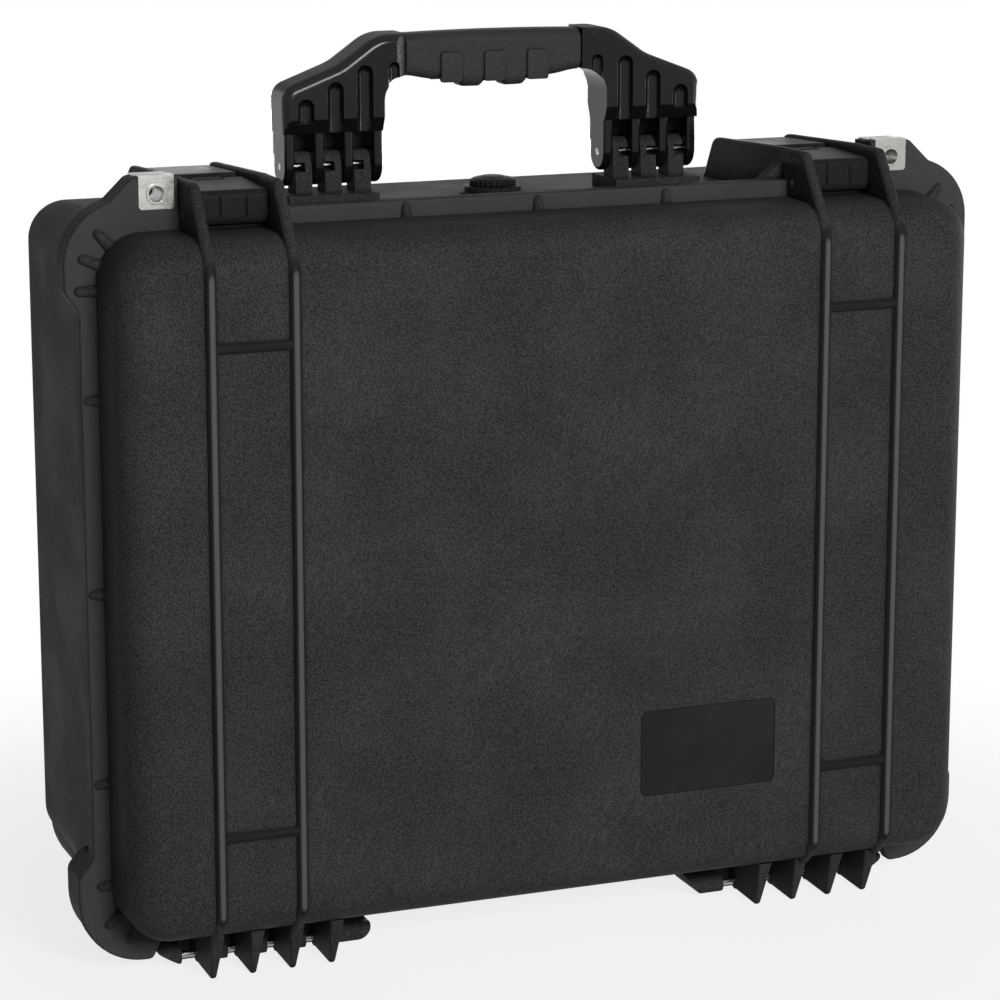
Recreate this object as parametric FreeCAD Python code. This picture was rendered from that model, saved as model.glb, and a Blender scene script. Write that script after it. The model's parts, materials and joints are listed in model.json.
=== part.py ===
import FreeCAD, Part
import math
import os
from FreeCAD import Vector

# Hard protective case standing on its hinge edge, lid towards -Y, handle up.
# It is drawn with the parting plane at Y = 0 and the floor at Z = 0, and is
# moved along Y at the end so that the origin lies under the middle of its box.

# Shell bodies
body_half_x = 246.0
body_low_z = 27.0
body_high_z = 405.0
corner_radius = 25.0
lid_depth = 50.0
base_depth = 158.0
draft_deg = 1.3
lid_edge_round = 18.0
base_edge_round = 10.0
wall = 4.5

# Shared allowances
cut_over = 2.0
touch = 0.01
seat_gap = 0.3
pin_gap = 0.05
press_gap = 0.02

# Flange round the mouth
lid_flange = 7.0
base_flange = 9.0
flange_out = 9.0
flange_edge_round = 1.8
base_flange_inset = 0.8
bulge_out = 7.5
bulge_height = 41.0
bulge_step = 11.0
bulge_round = 33.5
bulge_corner_rise = 6.6
bulge_thick = 12.0
bumper_out = 8.5
bumper_drop = 19.0
bumper_round = 36.0
bumper_height = 31.0
bumper_step = 10.0
bumper_width = 27.5
bumper_slope = 5.0
bumper_thick = 21.0
step_round = 7.0

# Rib pairs, latch ears and latch guards
rib_inset = 71.2
rib_half_gap = 22.6
rib_width = 6.4
rib_proud = 3.0
rib_round = 2.9
ear_rise = 26.0
ear_reach = 25.0
ear_round = 5.0
knee_drop = 13.0
knee_round = 27.0
toe_rise = 12.0
toe_round = 12.0
toe_reach = 41.0
cross_rib_radius = 2.9
cross_rib_sink = 0.4
cross_rib_high_drop = 56.4
cross_rib_low_rise = 59.1
guard_width = 5.0
guard_depth = 92.0
guard_fall = 4.5
guard_back_slope = 15.0
guard_round = 9.0
guard_edge_round = 1.6
brace_run = 15.0
brace_rise = 12.0
back_rib_proud = 2.0
back_rib_run = 22.0

# Gussets between the flange and the lid's body
gusset_root_radius = 3.6
gusset_tip_radius = 2.6
gusset_margin = 1.0
side_gusset_shares = 0.069, 0.22, 0.495, 0.77
bulge_gusset_share = 0.922
corner_gusset_reach = 11.5
low_gusset_turns_deg = 38.0, 64.0
high_gusset_turns_deg = 21.0, 47.0
top_gusset_pitch = 75.5

# Seal, its groove and the tongue that presses it
groove_out = 2.3
groove_width = 5.0
groove_depth = 4.5
seal_radius = 1.6
tongue_width = 2.4

# Label place
label_width = 82.0
label_height = 49.0
label_from_side = 160.5
label_rise = 78.5
label_round = 4.0
label_thick = 0.8
label_sink = 1.0

# Hinges
hinge_inset = 83.6
hinge_drop = 21.0
hinge_pin_radius = 2.0
hinge_pin_length = 94.0
knuckle_radius = 5.0
fin_count = 4
fin_pitch = 22.5
fin_root_width = 8.0
fin_tip_width = 3.0
fin_root_reach = 38.0
fin_root_lift = 1.0
fin_tip_reach = 28.0
fin_tip_round = 3.0
fin_edge_round = 1.2
base_knuckle_width = 8.0
end_knuckle_width = 5.0
end_knuckle_shift = 2.1
block_front = 8.0
block_depth = 17.0
block_over = 12.0
block_over_in = 18.0
block_chamfer = 16.0
block_chamfer_rise = 10.0
block_round = 6.0
block_end_round = 13.0
foot_depth = 122.0
foot_round = 14.0
foot_run_out = 26.0
rail_inset = 5.5
rail_width = 50.0
rail_height = 60.0
rail_round = 38.0
rail_end_round = 10.0
rail_depth = 154.0

# Latches
latch_side_gap = 0.5
link_pin_reach = 13.0
link_pin_rise = 7.5
link_pin_radius = 2.0
link_boss = 5.5
link_front_height = 18.4
link_round = 4.0
link_groove_out = 7.0
link_groove_radius = 0.8
lever_pin_reach = 26.0
lever_pin_rise = 16.0
lever_pin_radius = 1.8
lever_boss = 5.3
lever_slot = 16.0
lever_length = 62.0
lever_gap = 1.2
lever_crown = 7.0
lever_tip_thick = 5.0
lever_tip_drop = 1.0
lever_round = 2.0
lever_side_gap = 1.1
catch_face = 18.7
catch_lip = 2.3
catch_top_rise = 8.5
catch_lip_height = 3.5
catch_width = 24.0
nose_gap = 0.4
nose_toe = 2.6
nose_back = 1.0

# Padlock plates
padlock_rise = 28.0
padlock_block_width = 24.5
padlock_slope_run = 12.9
padlock_corner_round = 6.0
padlock_step_rise = 15.5
padlock_step_round = 6.0
padlock_hole_in = 12.1
padlock_hole_drop = 9.0
padlock_bore_radius = 4.2
eyelet_wall = 1.2
eyelet_lip = 0.8
plate_thick = 0.8
plate_width = 19.0
plate_drop = 17.0
plate_round = 2.0

# Handle
handle_y = 66.5
handle_pivot_rise = 20.0
handle_side_room = 28.6
handle_foot_taper = 1.5
leg_width = 56.3
handle_height = 71.0
handle_shoulder_drop = 28.0
handle_shoulder_round = 10.0
handle_notch_run = 33.0
handle_notch_drop = 15.5
handle_notch_round = 30.0
handle_slope_run = 55.0
handle_slope_round = 24.0
handle_half_thick = 14.0
handle_edge_round = 5.0
opening_drop = 23.0
opening_round = 13.0
leg_rib_count = 4
leg_rib_width = 5.5
leg_rib_half_thick = 10.5
leg_rib_round = 1.6
leg_gap_rise = 18.5
leg_bevel_height = 7.8
leg_web_thick = 3.0
leg_web_height = 12.4
handle_knuckle_radius = 8.0
handle_knuckle_side_gap = 1.0
handle_knuckle_front = 10.0
handle_knuckle_back = 5.0
pin_window_share = 0.6
pin_window_gap = 0.6
handle_pad_height = 5.5
handle_pad_inset = 4.5
handle_pad_depth = 34.0
handle_pin_radius = 2.0
slot_radius = 4.6
slot_top_drop = 12.0
outer_slot_lift = 6.0
inner_slot_in = 5.8
inner_slot_height = 11.0
inner_slot_radius = 3.4
bar_half_height = 7.0
bar_half_thick = 7.5
bar_tuck = 6.0
grip_inset = 13.5
grip_half_thick = 10.0
grip_height = 28.0
grip_edge_round = 5.0
grip_end_rise = 4.5
grip_taper_run = 6.0
grip_section_round = 6.0
finger_ridge = 2.8
finger_ridge_width = 13.0
finger_ridge_count = 2
finger_ridge_pitch = 25.5
finger_ridge_round = 3.0

# Pressure valve
valve_y = 60.0
valve_boss_radius = 18.0
valve_boss_rise = 1.5
valve_radius = 16.0
valve_flange = 3.4
valve_stem_radius = 7.0
valve_stem_over = 4.0
valve_seal_radius = 1.1
valve_seal_ring = 11.0
valve_cap_radius = 13.0
valve_cap_height = 5.4
valve_cap_round = 3.0
valve_nut_radius = 12.0
valve_nut_height = 4.0

# Places that follow from the sizes above
rib_pair_x = body_half_x - rib_inset
rib_xs = rib_pair_x - rib_half_gap, rib_pair_x + rib_half_gap
rib_half = rib_width / 2
hinge_x = body_half_x - hinge_inset
hinge_z = body_low_z - hinge_drop
flange_top_z = body_high_z + flange_out
flange_low_z = body_low_z - flange_out
padlock_in_x = rib_xs[1] + rib_half
padlock_top_z = body_high_z + padlock_rise
padlock_x = padlock_in_x + padlock_hole_in
padlock_z = padlock_top_z - padlock_hole_drop
eyelet_radius = padlock_bore_radius + eyelet_wall
ear_top_z = body_high_z + ear_rise
link_y = -link_pin_reach
link_z = body_high_z + link_pin_rise
lever_z = body_high_z + lever_pin_rise
handle_z = body_high_z + handle_pivot_rise
handle_top_z = handle_z + handle_height
handle_half_x = rib_xs[0] - handle_side_room
handle_foot_half_x = handle_half_x - handle_foot_taper
handle_inner_half_x = handle_foot_half_x - leg_width
handle_slope_half_x = handle_half_x - handle_slope_run
leg_pitch = (leg_width - leg_rib_width) / (leg_rib_count - 1)
handle_knuckle_width = leg_pitch - leg_rib_width - 2 * handle_knuckle_side_gap
grip_half_x = handle_inner_half_x - grip_inset
valve_z = body_high_z + valve_boss_rise
front_y = -(lid_depth + rib_proud)
back_y = base_depth + back_rib_proud
centre_shift = -(front_y + back_y) / 2
slope = math.tan(math.radians(draft_deg))
X_AXIS = Vector(1, 0, 0)
Y_AXIS = Vector(0, 1, 0)
Z_AXIS = Vector(0, 0, 1)
SIDES = {"left": -1, "right": 1}


def rounded_loop(corners, place):
    """Closed wire through (a, b, radius) corners, each rounded by a tangent arc."""
    points = [Vector(a, b, 0) for a, b, _ in corners]
    stops = []
    for index, (_, _, radius) in enumerate(corners):
        here = points[index]
        to_last = (points[index - 1] - here).normalize()
        to_next = (points[(index + 1) % len(points)] - here).normalize()
        half_angle = to_last.getAngle(to_next) / 2
        run = radius / math.tan(half_angle)
        inward = (to_last + to_next).normalize()
        middle = here + inward * (radius / math.sin(half_angle) - radius)
        stops.append((here + to_last * run, middle, here + to_next * run, radius))
    edges = []
    for index, (start, middle, end, radius) in enumerate(stops):
        arc_start, arc_middle, arc_end = (place(p.x, p.y) for p in (start, middle, end))
        if radius > 0:
            edges.append(Part.Arc(arc_start, arc_middle, arc_end).toShape())
        following = stops[(index + 1) % len(stops)][0]
        if end.distanceToPoint(following) > touch:
            edges.append(Part.makeLine(arc_end, place(following.x, following.y)))
    return Part.Wire(edges)


def plate_xz(corners, y0, y1):
    """Plate with an outline of (x, z, radius) corners, between two places along Y."""
    face = Part.Face(rounded_loop(corners, lambda x, z: Vector(x, y0, z)))
    return face.extrude(Vector(0, y1 - y0, 0))


def plate_yz(corners, x0, x1):
    """Plate with an outline of (y, z, radius) corners, between two places along X."""
    face = Part.Face(rounded_loop(corners, lambda y, z: Vector(x0, y, z)))
    return face.extrude(Vector(x1 - x0, 0, 0))


def plate_xy(corners, z0, z1):
    """Plate with an outline of (x, y, radius) corners, between two levels."""
    face = Part.Face(rounded_loop(corners, lambda x, y: Vector(x, y, z0)))
    return face.extrude(Vector(0, 0, z1 - z0))


def block(x0, x1, y0, y1, z0, z1):
    """Box between two corners."""
    return Part.makeBox(x1 - x0, y1 - y0, z1 - z0, Vector(x0, y0, z0))


def rod_x(radius, x0, x1, y, z):
    """Round bar along X."""
    return Part.makeCylinder(radius, x1 - x0, Vector(x0, y, z), X_AXIS)


def rod_y(radius, y0, y1, x, z):
    """Round bar along Y."""
    return Part.makeCylinder(radius, y1 - y0, Vector(x, y0, z), Y_AXIS)


def rod_z(radius, z0, z1, x, y):
    """Round bar along Z."""
    return Part.makeCylinder(radius, z1 - z0, Vector(x, y, z0), Z_AXIS)


def mirrored(shape):
    """The same shape on the other side of the case's middle plane."""
    return shape.mirror(Vector(0, 0, 0), X_AXIS)


def joined(first, others):
    """One solid from a first shape and others, added one after another."""
    for other in others:
        first = first.fuse(other)
    return first.Solids[0]


def both_sides(shapes):
    """The right-hand shapes and their mirror images."""
    return shapes + [mirrored(shape) for shape in shapes]


def edges_at_x(shape, x):
    """Edges that lie in a plane across X."""
    return [e for e in shape.Edges
            if abs(e.BoundBox.XMin - x) < touch and abs(e.BoundBox.XMax - x) < touch]


def edges_at_y(shape, y):
    """Edges that lie in a plane across Y."""
    return [e for e in shape.Edges
            if abs(e.BoundBox.YMin - y) < touch and abs(e.BoundBox.YMax - y) < touch]


def edges_at_z(shape, z):
    """Edges that lie in a plane across Z."""
    return [e for e in shape.Edges
            if abs(e.BoundBox.ZMin - z) < touch and abs(e.BoundBox.ZMax - z) < touch]


def soften_sides(plate, x0, x1, radius, keep):
    """Round the edges of a YZ plate's two faces, where keep(box) says so."""
    edges = [e for x in (x0, x1) for e in edges_at_x(plate, x) if keep(e.BoundBox)]
    return plate.makeFillet(radius, edges).Solids[0]


def mouth_loop(y, inset):
    """Rounded rectangle of the bodies, a given inset inside their mouth."""
    half = body_half_x - inset
    low = body_low_z + inset
    high = body_high_z - inset
    radius = corner_radius - inset
    corners = [(half, low, radius), (half, high, radius), (-half, high, radius), (-half, low, radius)]
    return rounded_loop(corners, lambda x, z: Vector(x, y, z))


def drafted_body(y_mouth, y_end, inset, edge_round):
    """Drafted tub with a rounded end, as a solid."""
    taper = abs(y_end - y_mouth) * slope
    tub = Part.makeLoft([mouth_loop(y_mouth, inset), mouth_loop(y_end, inset + taper)], True, True)
    return tub.makeFillet(edge_round, edges_at_y(tub, y_end)).Solids[0]


def ring_prism(y0, y1, inset_out, inset_in):
    """Band round the mouth between two insets."""
    outer = Part.Face(mouth_loop(y0, inset_out)).extrude(Vector(0, y1 - y0, 0))
    inner = Part.Face(mouth_loop(y0, inset_in)).extrude(Vector(0, y1 - y0, 0))
    return outer.cut(inner).Solids[0]


def bumper_half(inset):
    """Right half of the flange's outline, from its low edge round the bumper and up to the side."""
    side = body_half_x + flange_out - inset
    bumper = side + bumper_out
    bumper_low = body_low_z - bumper_drop + inset
    bumper_in = body_half_x - bumper_width + inset
    bumper_top = body_low_z + bumper_height
    return [
        (bumper_in, flange_low_z + inset, 0),
        (bumper_in + bumper_slope, bumper_low, step_round / 2),
        (bumper, bumper_low, bumper_round),
        (bumper, bumper_top, step_round),
        (side, bumper_top + bumper_step, step_round),
    ]


def bulge_half(inset):
    """Right half of the flange's outline, from the side round the top corner to the padlock block."""
    side = body_half_x + flange_out - inset
    bulge = side + bulge_out
    bulge_low = body_high_z - bulge_height
    padlock_out_x = padlock_in_x + padlock_block_width - inset
    padlock_top = padlock_top_z - inset
    return [
        (side, bulge_low, step_round),
        (bulge, bulge_low + bulge_step, step_round),
        (bulge, body_high_z + bulge_corner_rise - inset, bulge_round),
        (padlock_out_x + padlock_slope_run, body_high_z + padlock_step_rise - inset, padlock_step_round),
        (padlock_out_x, padlock_top, padlock_corner_round),
        (padlock_in_x, padlock_top, 0),
    ]


def flange_plate(y0, y1, soft_y, inset):
    """Flange plate of the lid or the base, softened at its outer face."""
    right = bumper_half(inset) + bulge_half(inset) + [(padlock_in_x, flange_top_z - inset, 0)]
    left = [(-x, z, radius) for x, z, radius in reversed(right)]
    plate = plate_xz(right + left, y0, y1)
    return plate.makeFillet(flange_edge_round, edges_at_y(plate, soft_y)).Solids[0]


def lid_rib(x):
    """Rib from a latch ear, down the lid's front, to the hinge fins."""
    x0, x1 = x - rib_half, x + rib_half
    corners = [
        (0, ear_top_z, 0),
        (-ear_reach, ear_top_z, ear_round),
        (front_y, body_high_z - knee_drop, knee_round),
        (front_y, body_low_z + toe_rise, toe_round),
        (-toe_reach, body_low_z, 0),
        (0, body_low_z, 0),
    ]
    plate = plate_yz(corners, x0, x1)

    def in_view(box):
        return box.YMin < -touch and not (box.YMax > -touch and box.ZMax < body_low_z + touch)

    return soften_sides(plate, x0, x1, rib_round, in_view)


def lid_fin(x):
    """Hinge fin of the lid, narrowing to its tip, with the knuckle for the pin."""
    half_root = fin_root_width / 2
    half_tip = fin_tip_width / 2
    root_z = body_low_z + fin_root_lift
    corners = [
        (-fin_root_reach, root_z, 0),
        (-fin_tip_reach, 0, fin_tip_round),
        (0, hinge_z - knuckle_radius, 0),
        (0, root_z, 0),
    ]
    taper = [
        (x - half_tip, 0, 0),
        (x + half_tip, 0, 0),
        (x + half_root, root_z, 0),
        (x - half_root, root_z, 0),
    ]
    wedge = plate_xz(taper, -fin_root_reach, knuckle_radius)
    blade = plate_yz(corners, x - half_root, x + half_root).common(wedge)
    side_edges = [e for e in blade.Edges if abs(e.CenterOfMass.x - x) > touch
                  and e.BoundBox.YMin < -touch and e.BoundBox.ZMin < root_z - touch]
    blade = blade.makeFillet(fin_edge_round, side_edges)
    eye = rod_x(knuckle_radius, x - half_root, x + half_root, 0, hinge_z).common(wedge)
    return blade.fuse(eye).Solids[0]


def fin_xs():
    """Places of one hinge's lid fins along X."""
    first = hinge_x - fin_pitch * (fin_count - 1) / 2
    return [first + fin_pitch * index for index in range(fin_count)]


def base_knuckles():
    """Base knuckles of one hinge: one in each gap between fins and one out to each end of the block."""
    xs = fin_xs()
    half_pitch = fin_pitch / 2
    half_width = base_knuckle_width / 2
    end_in = half_pitch + end_knuckle_shift - end_knuckle_width / 2
    x_in, x_out = hinge_block_ends()
    spans = [(x + half_pitch - half_width, x + half_pitch + half_width) for x in xs[:-1]]
    spans += [(x_in, xs[0] - end_in), (xs[-1] + end_in, x_out)]
    outline = hinge_block(-knuckle_radius, block_front + cut_over)
    knuckles = []
    for x0, x1 in spans:
        eye = rod_x(knuckle_radius, x0, x1, 0, hinge_z)
        arm = block(x0, x1, 0, block_front + cut_over, hinge_z - knuckle_radius, hinge_z + knuckle_radius)
        knuckles.append(eye.fuse(arm).common(outline))
    return knuckles


def hinge_block_ends():
    """Inner and outer end of one hinge's block along X."""
    half_pin = hinge_pin_length / 2
    return hinge_x - half_pin - block_over_in, hinge_x + half_pin + block_over


def hinge_block(y0, y1):
    """Block under the base flange that carries one hinge's knuckles, between two places along Y."""
    x0, x1 = hinge_block_ends()
    top = flange_low_z + base_flange
    corners = [
        (x0, top, 0),
        (x0, 0, block_end_round),
        (x1 - block_chamfer, 0, block_round),
        (x1, block_chamfer_rise, block_round),
        (x1, top, 0),
    ]
    return plate_xz(corners, y0, y1)


def foot(x):
    """Standing rib behind the hinge, level with the floor."""
    top = body_low_z + wall / 2 + base_depth * slope
    corners = [
        (block_front, 0, 0),
        (foot_depth, 0, foot_round),
        (foot_depth + foot_run_out, top, 0),
        (block_front, top, 0),
    ]
    return plate_yz(corners, x - rib_half, x + rib_half)


def corner_rail():
    """Low rail along one of the base's lower corners, behind the bumper."""
    x1 = body_half_x - rail_inset
    x0 = x1 - rail_width
    low = body_low_z - bumper_drop
    top = low + rail_height
    corners = [(x0, top, 0), (x0, low, step_round), (x1, low, rail_round), (x1, top, 0)]
    rail = plate_xz(corners, block_front, rail_depth)
    end_boxes = [(e, e.BoundBox) for e in edges_at_y(rail, rail_depth)]
    outside = [e for e, box in end_boxes if box.ZMin < top - touch and box.XMax > x0 + touch]
    return rail.makeFillet(rail_end_round, outside).Solids[0]


def latch_guard(x):
    """Guard plate on the base beside a latch."""
    x0, x1 = x - guard_width / 2, x + guard_width / 2
    root = body_high_z - base_depth * slope - wall / 2
    back = guard_depth + guard_back_slope
    corners = [
        (0, root, 0),
        (0, ear_top_z, 0),
        (guard_depth, ear_top_z - guard_fall, guard_round),
        (back, root, 0),
    ]
    plate = plate_yz(corners, x0, x1)
    return soften_sides(plate, x0, x1, guard_edge_round, lambda b: b.ZMax > root + touch and b.YMax > touch)


def guard_brace():
    """Triangle between the base flange's top and the inner guard of one latch."""
    low = flange_top_z - flange_out / 2
    top = flange_top_z - base_flange_inset
    x = rib_xs[0]
    corners = [(x, low, 0), (x, top + brace_rise, 0), (x - brace_run, top, 0), (x - brace_run, low, 0)]
    return plate_xz(corners, 0, base_flange)


def back_rib(x):
    """Half-round rib down the back of the base."""
    x0, x1 = x - rib_half, x + rib_half
    inside = base_depth - wall / 2
    margin = base_depth * slope + base_edge_round
    low = body_low_z + margin
    high = body_high_z - margin
    corners = [
        (inside, low, 0),
        (inside, high, 0),
        (back_y, high - back_rib_run, back_rib_run),
        (back_y, low + back_rib_run, back_rib_run),
    ]
    plate = plate_yz(corners, x0, x1)
    return soften_sides(plate, x0, x1, back_rib_proud, lambda b: b.YMax > inside + touch)


def latch_catch():
    """Lip on the base that a latch lever's nose hooks behind."""
    top = body_high_z + catch_top_rise
    lip_low = top - catch_lip_height
    root = body_high_z - wall
    corners = [
        (base_flange / 2, root, 0),
        (base_flange / 2, top, 0),
        (catch_face + catch_lip, top, 0),
        (catch_face + catch_lip, lip_low, 0),
        (catch_face, lip_low, 0),
        (catch_face, root, 0),
    ]
    return plate_yz(corners, rib_pair_x - catch_width / 2, rib_pair_x + catch_width / 2)


def leg_rib_xs():
    """Places of one handle leg's ribs along X."""
    first = handle_inner_half_x + leg_rib_width / 2
    return [first + leg_pitch * index for index in range(leg_rib_count)]


def leg_gap_xs():
    """Places of the gaps between one handle leg's ribs."""
    return [x + leg_pitch / 2 for x in leg_rib_xs()[:-1]]


def handle_mount():
    """Pad and knuckles on the base for one handle leg, each knuckle open in front of its pin."""
    pad_top = body_high_z + handle_pad_height
    root = body_high_z - base_depth * slope - wall / 2
    y0, y1 = handle_y - handle_pad_depth / 2, handle_y + handle_pad_depth / 2
    pad_in = handle_inner_half_x + handle_pad_inset
    pieces = [block(pad_in, handle_foot_half_x, y0, y1, root, pad_top)]
    corners = [
        (handle_y - handle_knuckle_front, root, 0),
        (handle_y + handle_knuckle_back, root, 0),
        (handle_y + handle_knuckle_back, handle_z, 0),
        (handle_y - handle_knuckle_radius, handle_z, 0),
    ]
    window_half = handle_pin_radius + pin_window_gap
    for x in leg_gap_xs():
        x0 = x - handle_knuckle_width / 2
        x1 = x0 + handle_knuckle_width
        eye = rod_x(handle_knuckle_radius, x0, x1, handle_y, handle_z)
        window = block(x1 - handle_knuckle_width * pin_window_share, x1 + cut_over,
                       handle_y - handle_knuckle_front - cut_over, handle_y,
                       handle_z - window_half, handle_z + window_half)
        pieces.append(plate_yz(corners, x0, x1).fuse(eye).cut(window))
    return pieces


def padlock_hole(y0, y1):
    """Hole through a flange for one padlock eyelet."""
    return rod_y(eyelet_radius + press_gap, y0 - cut_over, y1 + cut_over, padlock_x, padlock_z)


def gusset(x, z, direction, reach):
    """Round gusset on the lid's flange, from the body's wall out to a round tip."""
    root_in = wall / 2
    length = reach + root_in - gusset_tip_radius
    start = Vector(x, -lid_flange, z) - direction * root_in
    cone = Part.makeCone(gusset_root_radius, gusset_tip_radius, length, start, direction)
    return cone.fuse(Part.makeSphere(gusset_tip_radius, start + direction * length))


def gussets():
    """Gussets between the lid's flange and its body, on both sides and along the top."""
    reach = flange_out - gusset_margin
    side_height = body_high_z - body_low_z
    side_zs = [body_low_z + side_height * share for share in side_gusset_shares]
    pieces = [gusset(body_half_x, z, X_AXIS, reach) for z in side_zs]
    bulge_z = body_low_z + side_height * bulge_gusset_share
    pieces.append(gusset(body_half_x, bulge_z, X_AXIS, corner_gusset_reach))
    centre_x = body_half_x - corner_radius
    low_corner = body_low_z + corner_radius, -1, low_gusset_turns_deg
    high_corner = body_high_z - corner_radius, 1, high_gusset_turns_deg
    for centre_z, sign, turns_deg in (low_corner, high_corner):
        for turn_deg in turns_deg:
            turn = math.radians(turn_deg)
            direction = Vector(math.cos(turn), 0, sign * math.sin(turn))
            spot = Vector(centre_x, 0, centre_z) + direction * corner_radius
            pieces.append(gusset(spot.x, spot.z, direction, corner_gusset_reach))
    top_xs = [top_gusset_pitch * step for step in (-1, 0, 1)]
    return both_sides(pieces) + [gusset(x, body_high_z, Z_AXIS, reach) for x in top_xs]


def cross_ribs():
    """Short ribs across one rib pair on the lid's front."""
    y = -lid_depth + cross_rib_sink
    heights = body_high_z - cross_rib_high_drop, body_low_z + cross_rib_low_rise
    return [rod_x(cross_rib_radius, rib_xs[0], rib_xs[1], y, z) for z in heights]


def label_corners(margin):
    """Outline of the label's place, less a margin all round."""
    centre_x = body_half_x - label_from_side
    centre_z = body_low_z + label_rise
    half_width = label_width / 2 - margin
    half_height = label_height / 2 - margin
    x0, x1 = centre_x - half_width, centre_x + half_width
    z0, z1 = centre_z - half_height, centre_z + half_height
    radius = label_round - margin
    return [(x0, z0, radius), (x1, z0, radius), (x1, z1, radius), (x0, z1, radius)]


def make_lid_shell():
    """Lid: drafted tub, flange, ribs with latch ears, hinge fins and gussets."""
    body = drafted_body(0, -lid_depth, 0, lid_edge_round)
    flange = flange_plate(-lid_flange, 0, -lid_flange, 0)
    side_pieces = [lid_rib(x) for x in rib_xs] + [lid_fin(x) for x in fin_xs()] + cross_ribs()
    shell = joined(body, [flange] + both_sides(side_pieces) + gussets())
    cavity = drafted_body(cut_over, wall - lid_depth, wall, lid_edge_round - wall)
    groove_in = -(groove_out - groove_width / 2)
    groove = ring_prism(-groove_depth, cut_over, groove_in - groove_width, groove_in)
    label_place = plate_xz(label_corners(0), -lid_depth - cut_over, -lid_depth + label_sink)
    half_pin = hinge_pin_length / 2 + block_over
    side_cuts = [
        rod_x(hinge_pin_radius + pin_gap, hinge_x - half_pin, hinge_x + half_pin, 0, hinge_z),
        rod_x(link_pin_radius + press_gap, rib_xs[0] - rib_width, rib_xs[1] + rib_width, link_y, link_z),
        padlock_hole(-lid_flange, 0),
    ]
    return shell.cut([cavity, groove, label_place] + both_sides(side_cuts))


def make_base_shell():
    """Base: drafted tub, flange, guards, catches, handle mounts, hinge blocks and feet."""
    body = drafted_body(0, base_depth, 0, base_edge_round)
    flange = flange_plate(0, base_flange, base_flange, base_flange_inset)
    bumper_close = body_half_x - bumper_width, body_low_z + bumper_height, 0
    bumper_corners = bumper_half(base_flange_inset) + [bumper_close]
    bulge_close = padlock_in_x, body_high_z - corner_radius, 0
    bulge_corners = bulge_half(base_flange_inset) + [bulge_close]
    side_pieces = [
        plate_xz(bumper_corners, 0, bumper_thick),
        plate_xz(bulge_corners, 0, bulge_thick),
        corner_rail(),
        hinge_block(block_front, block_front + block_depth),
        latch_catch(),
        guard_brace(),
    ]
    side_pieces += base_knuckles() + handle_mount()
    for x in rib_xs:
        side_pieces += [latch_guard(x), foot(x), back_rib(x)]
    tongue_in = -(groove_out - tongue_width / 2)
    tongue_height = groove_depth - 2 * seal_radius - seat_gap
    tongue = ring_prism(-tongue_height, cut_over, tongue_in - tongue_width, tongue_in)
    boss_root = body_high_z - base_depth * slope - wall / 2
    boss = rod_z(valve_boss_radius, boss_root, valve_z, 0, valve_y)
    shell = joined(body, [flange, tongue, boss] + both_sides(side_pieces))
    cavity = drafted_body(-cut_over - groove_depth, base_depth - wall, wall, base_edge_round - wall)
    half_pin = hinge_pin_length / 2 + press_gap
    handle_pin_in = handle_inner_half_x - cut_over
    handle_pin_out = handle_foot_half_x + cut_over
    side_cuts = [
        rod_x(hinge_pin_radius + press_gap, hinge_x - half_pin, hinge_x + half_pin, 0, hinge_z),
        rod_x(handle_pin_radius + press_gap, handle_pin_in, handle_pin_out, handle_y, handle_z),
        padlock_hole(0, bulge_thick),
    ]
    stem_hole = rod_z(valve_stem_radius + pin_gap, boss_root - wall * 2, valve_z + cut_over, 0, valve_y)
    return shell.cut([cavity, stem_hole] + both_sides(side_cuts))


def make_lid_seal():
    """Round seal ring seated in the bottom of the lid's groove."""
    path = mouth_loop(-groove_depth + seal_radius, -groove_out)
    start = path.Edges[0].Vertexes[0].Point
    along = path.Edges[0].tangentAt(path.Edges[0].FirstParameter)
    ring = Part.Wire([Part.makeCircle(seal_radius, start, along)])
    return path.makePipeShell([ring], True, False)


def make_label_plate():
    """Bare plate in the lid's label place."""
    floor_y = -lid_depth + label_sink
    return plate_xz(label_corners(seat_gap), floor_y - label_thick, floor_y)


def make_hinge_pin(side):
    """Steel pin of one hinge."""
    half = hinge_pin_length / 2
    return rod_x(hinge_pin_radius, side * hinge_x - half, side * hinge_x + half, 0, hinge_z)


def latch_span(gap):
    """Both ends along X of the room between a latch's two ears, less a gap at each."""
    return rib_xs[0] + rib_half + gap, rib_xs[1] - rib_half - gap


def make_latch_link():
    """Link that swings on the lid's ears and carries the lever."""
    x0, x1 = latch_span(latch_side_gap)
    front_y0 = link_y - link_boss
    boss_back = link_y + link_boss
    low = lever_z - lever_boss
    corners = [
        (front_y0, link_z, 0),
        (front_y0, link_z - link_boss + link_front_height, link_round),
        (lever_pin_reach, lever_z + lever_boss, 0),
        (lever_pin_reach, low, 0),
        (boss_back, low, 0),
        (boss_back, link_z, 0),
    ]
    bosses = [rod_x(link_boss, x0, x1, link_y, link_z), rod_x(lever_boss, x0, x1, lever_pin_reach, lever_z)]
    link = joined(plate_yz(corners, x0, x1), bosses)
    slot_half = lever_slot / 2
    slot = block(rib_pair_x - slot_half, rib_pair_x + slot_half, lever_pin_reach - lever_boss - lever_gap,
                 lever_pin_reach + lever_boss + cut_over, lever_z - lever_boss - cut_over,
                 lever_z + lever_boss + cut_over)
    link_bore = rod_x(link_pin_radius + pin_gap, x0 - cut_over, x1 + cut_over, link_y, link_z)
    lever_bore = rod_x(lever_pin_radius + press_gap, x0 - cut_over, x1 + cut_over, lever_pin_reach, lever_z)
    groove_xs = rib_pair_x - link_groove_out, rib_pair_x + link_groove_out
    groove_top = link_z + link_front_height
    grooves = [rod_z(link_groove_radius, link_z - link_boss, groove_top, x, front_y0) for x in groove_xs]
    return link.cut([slot, link_bore, lever_bore] + grooves)


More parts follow.
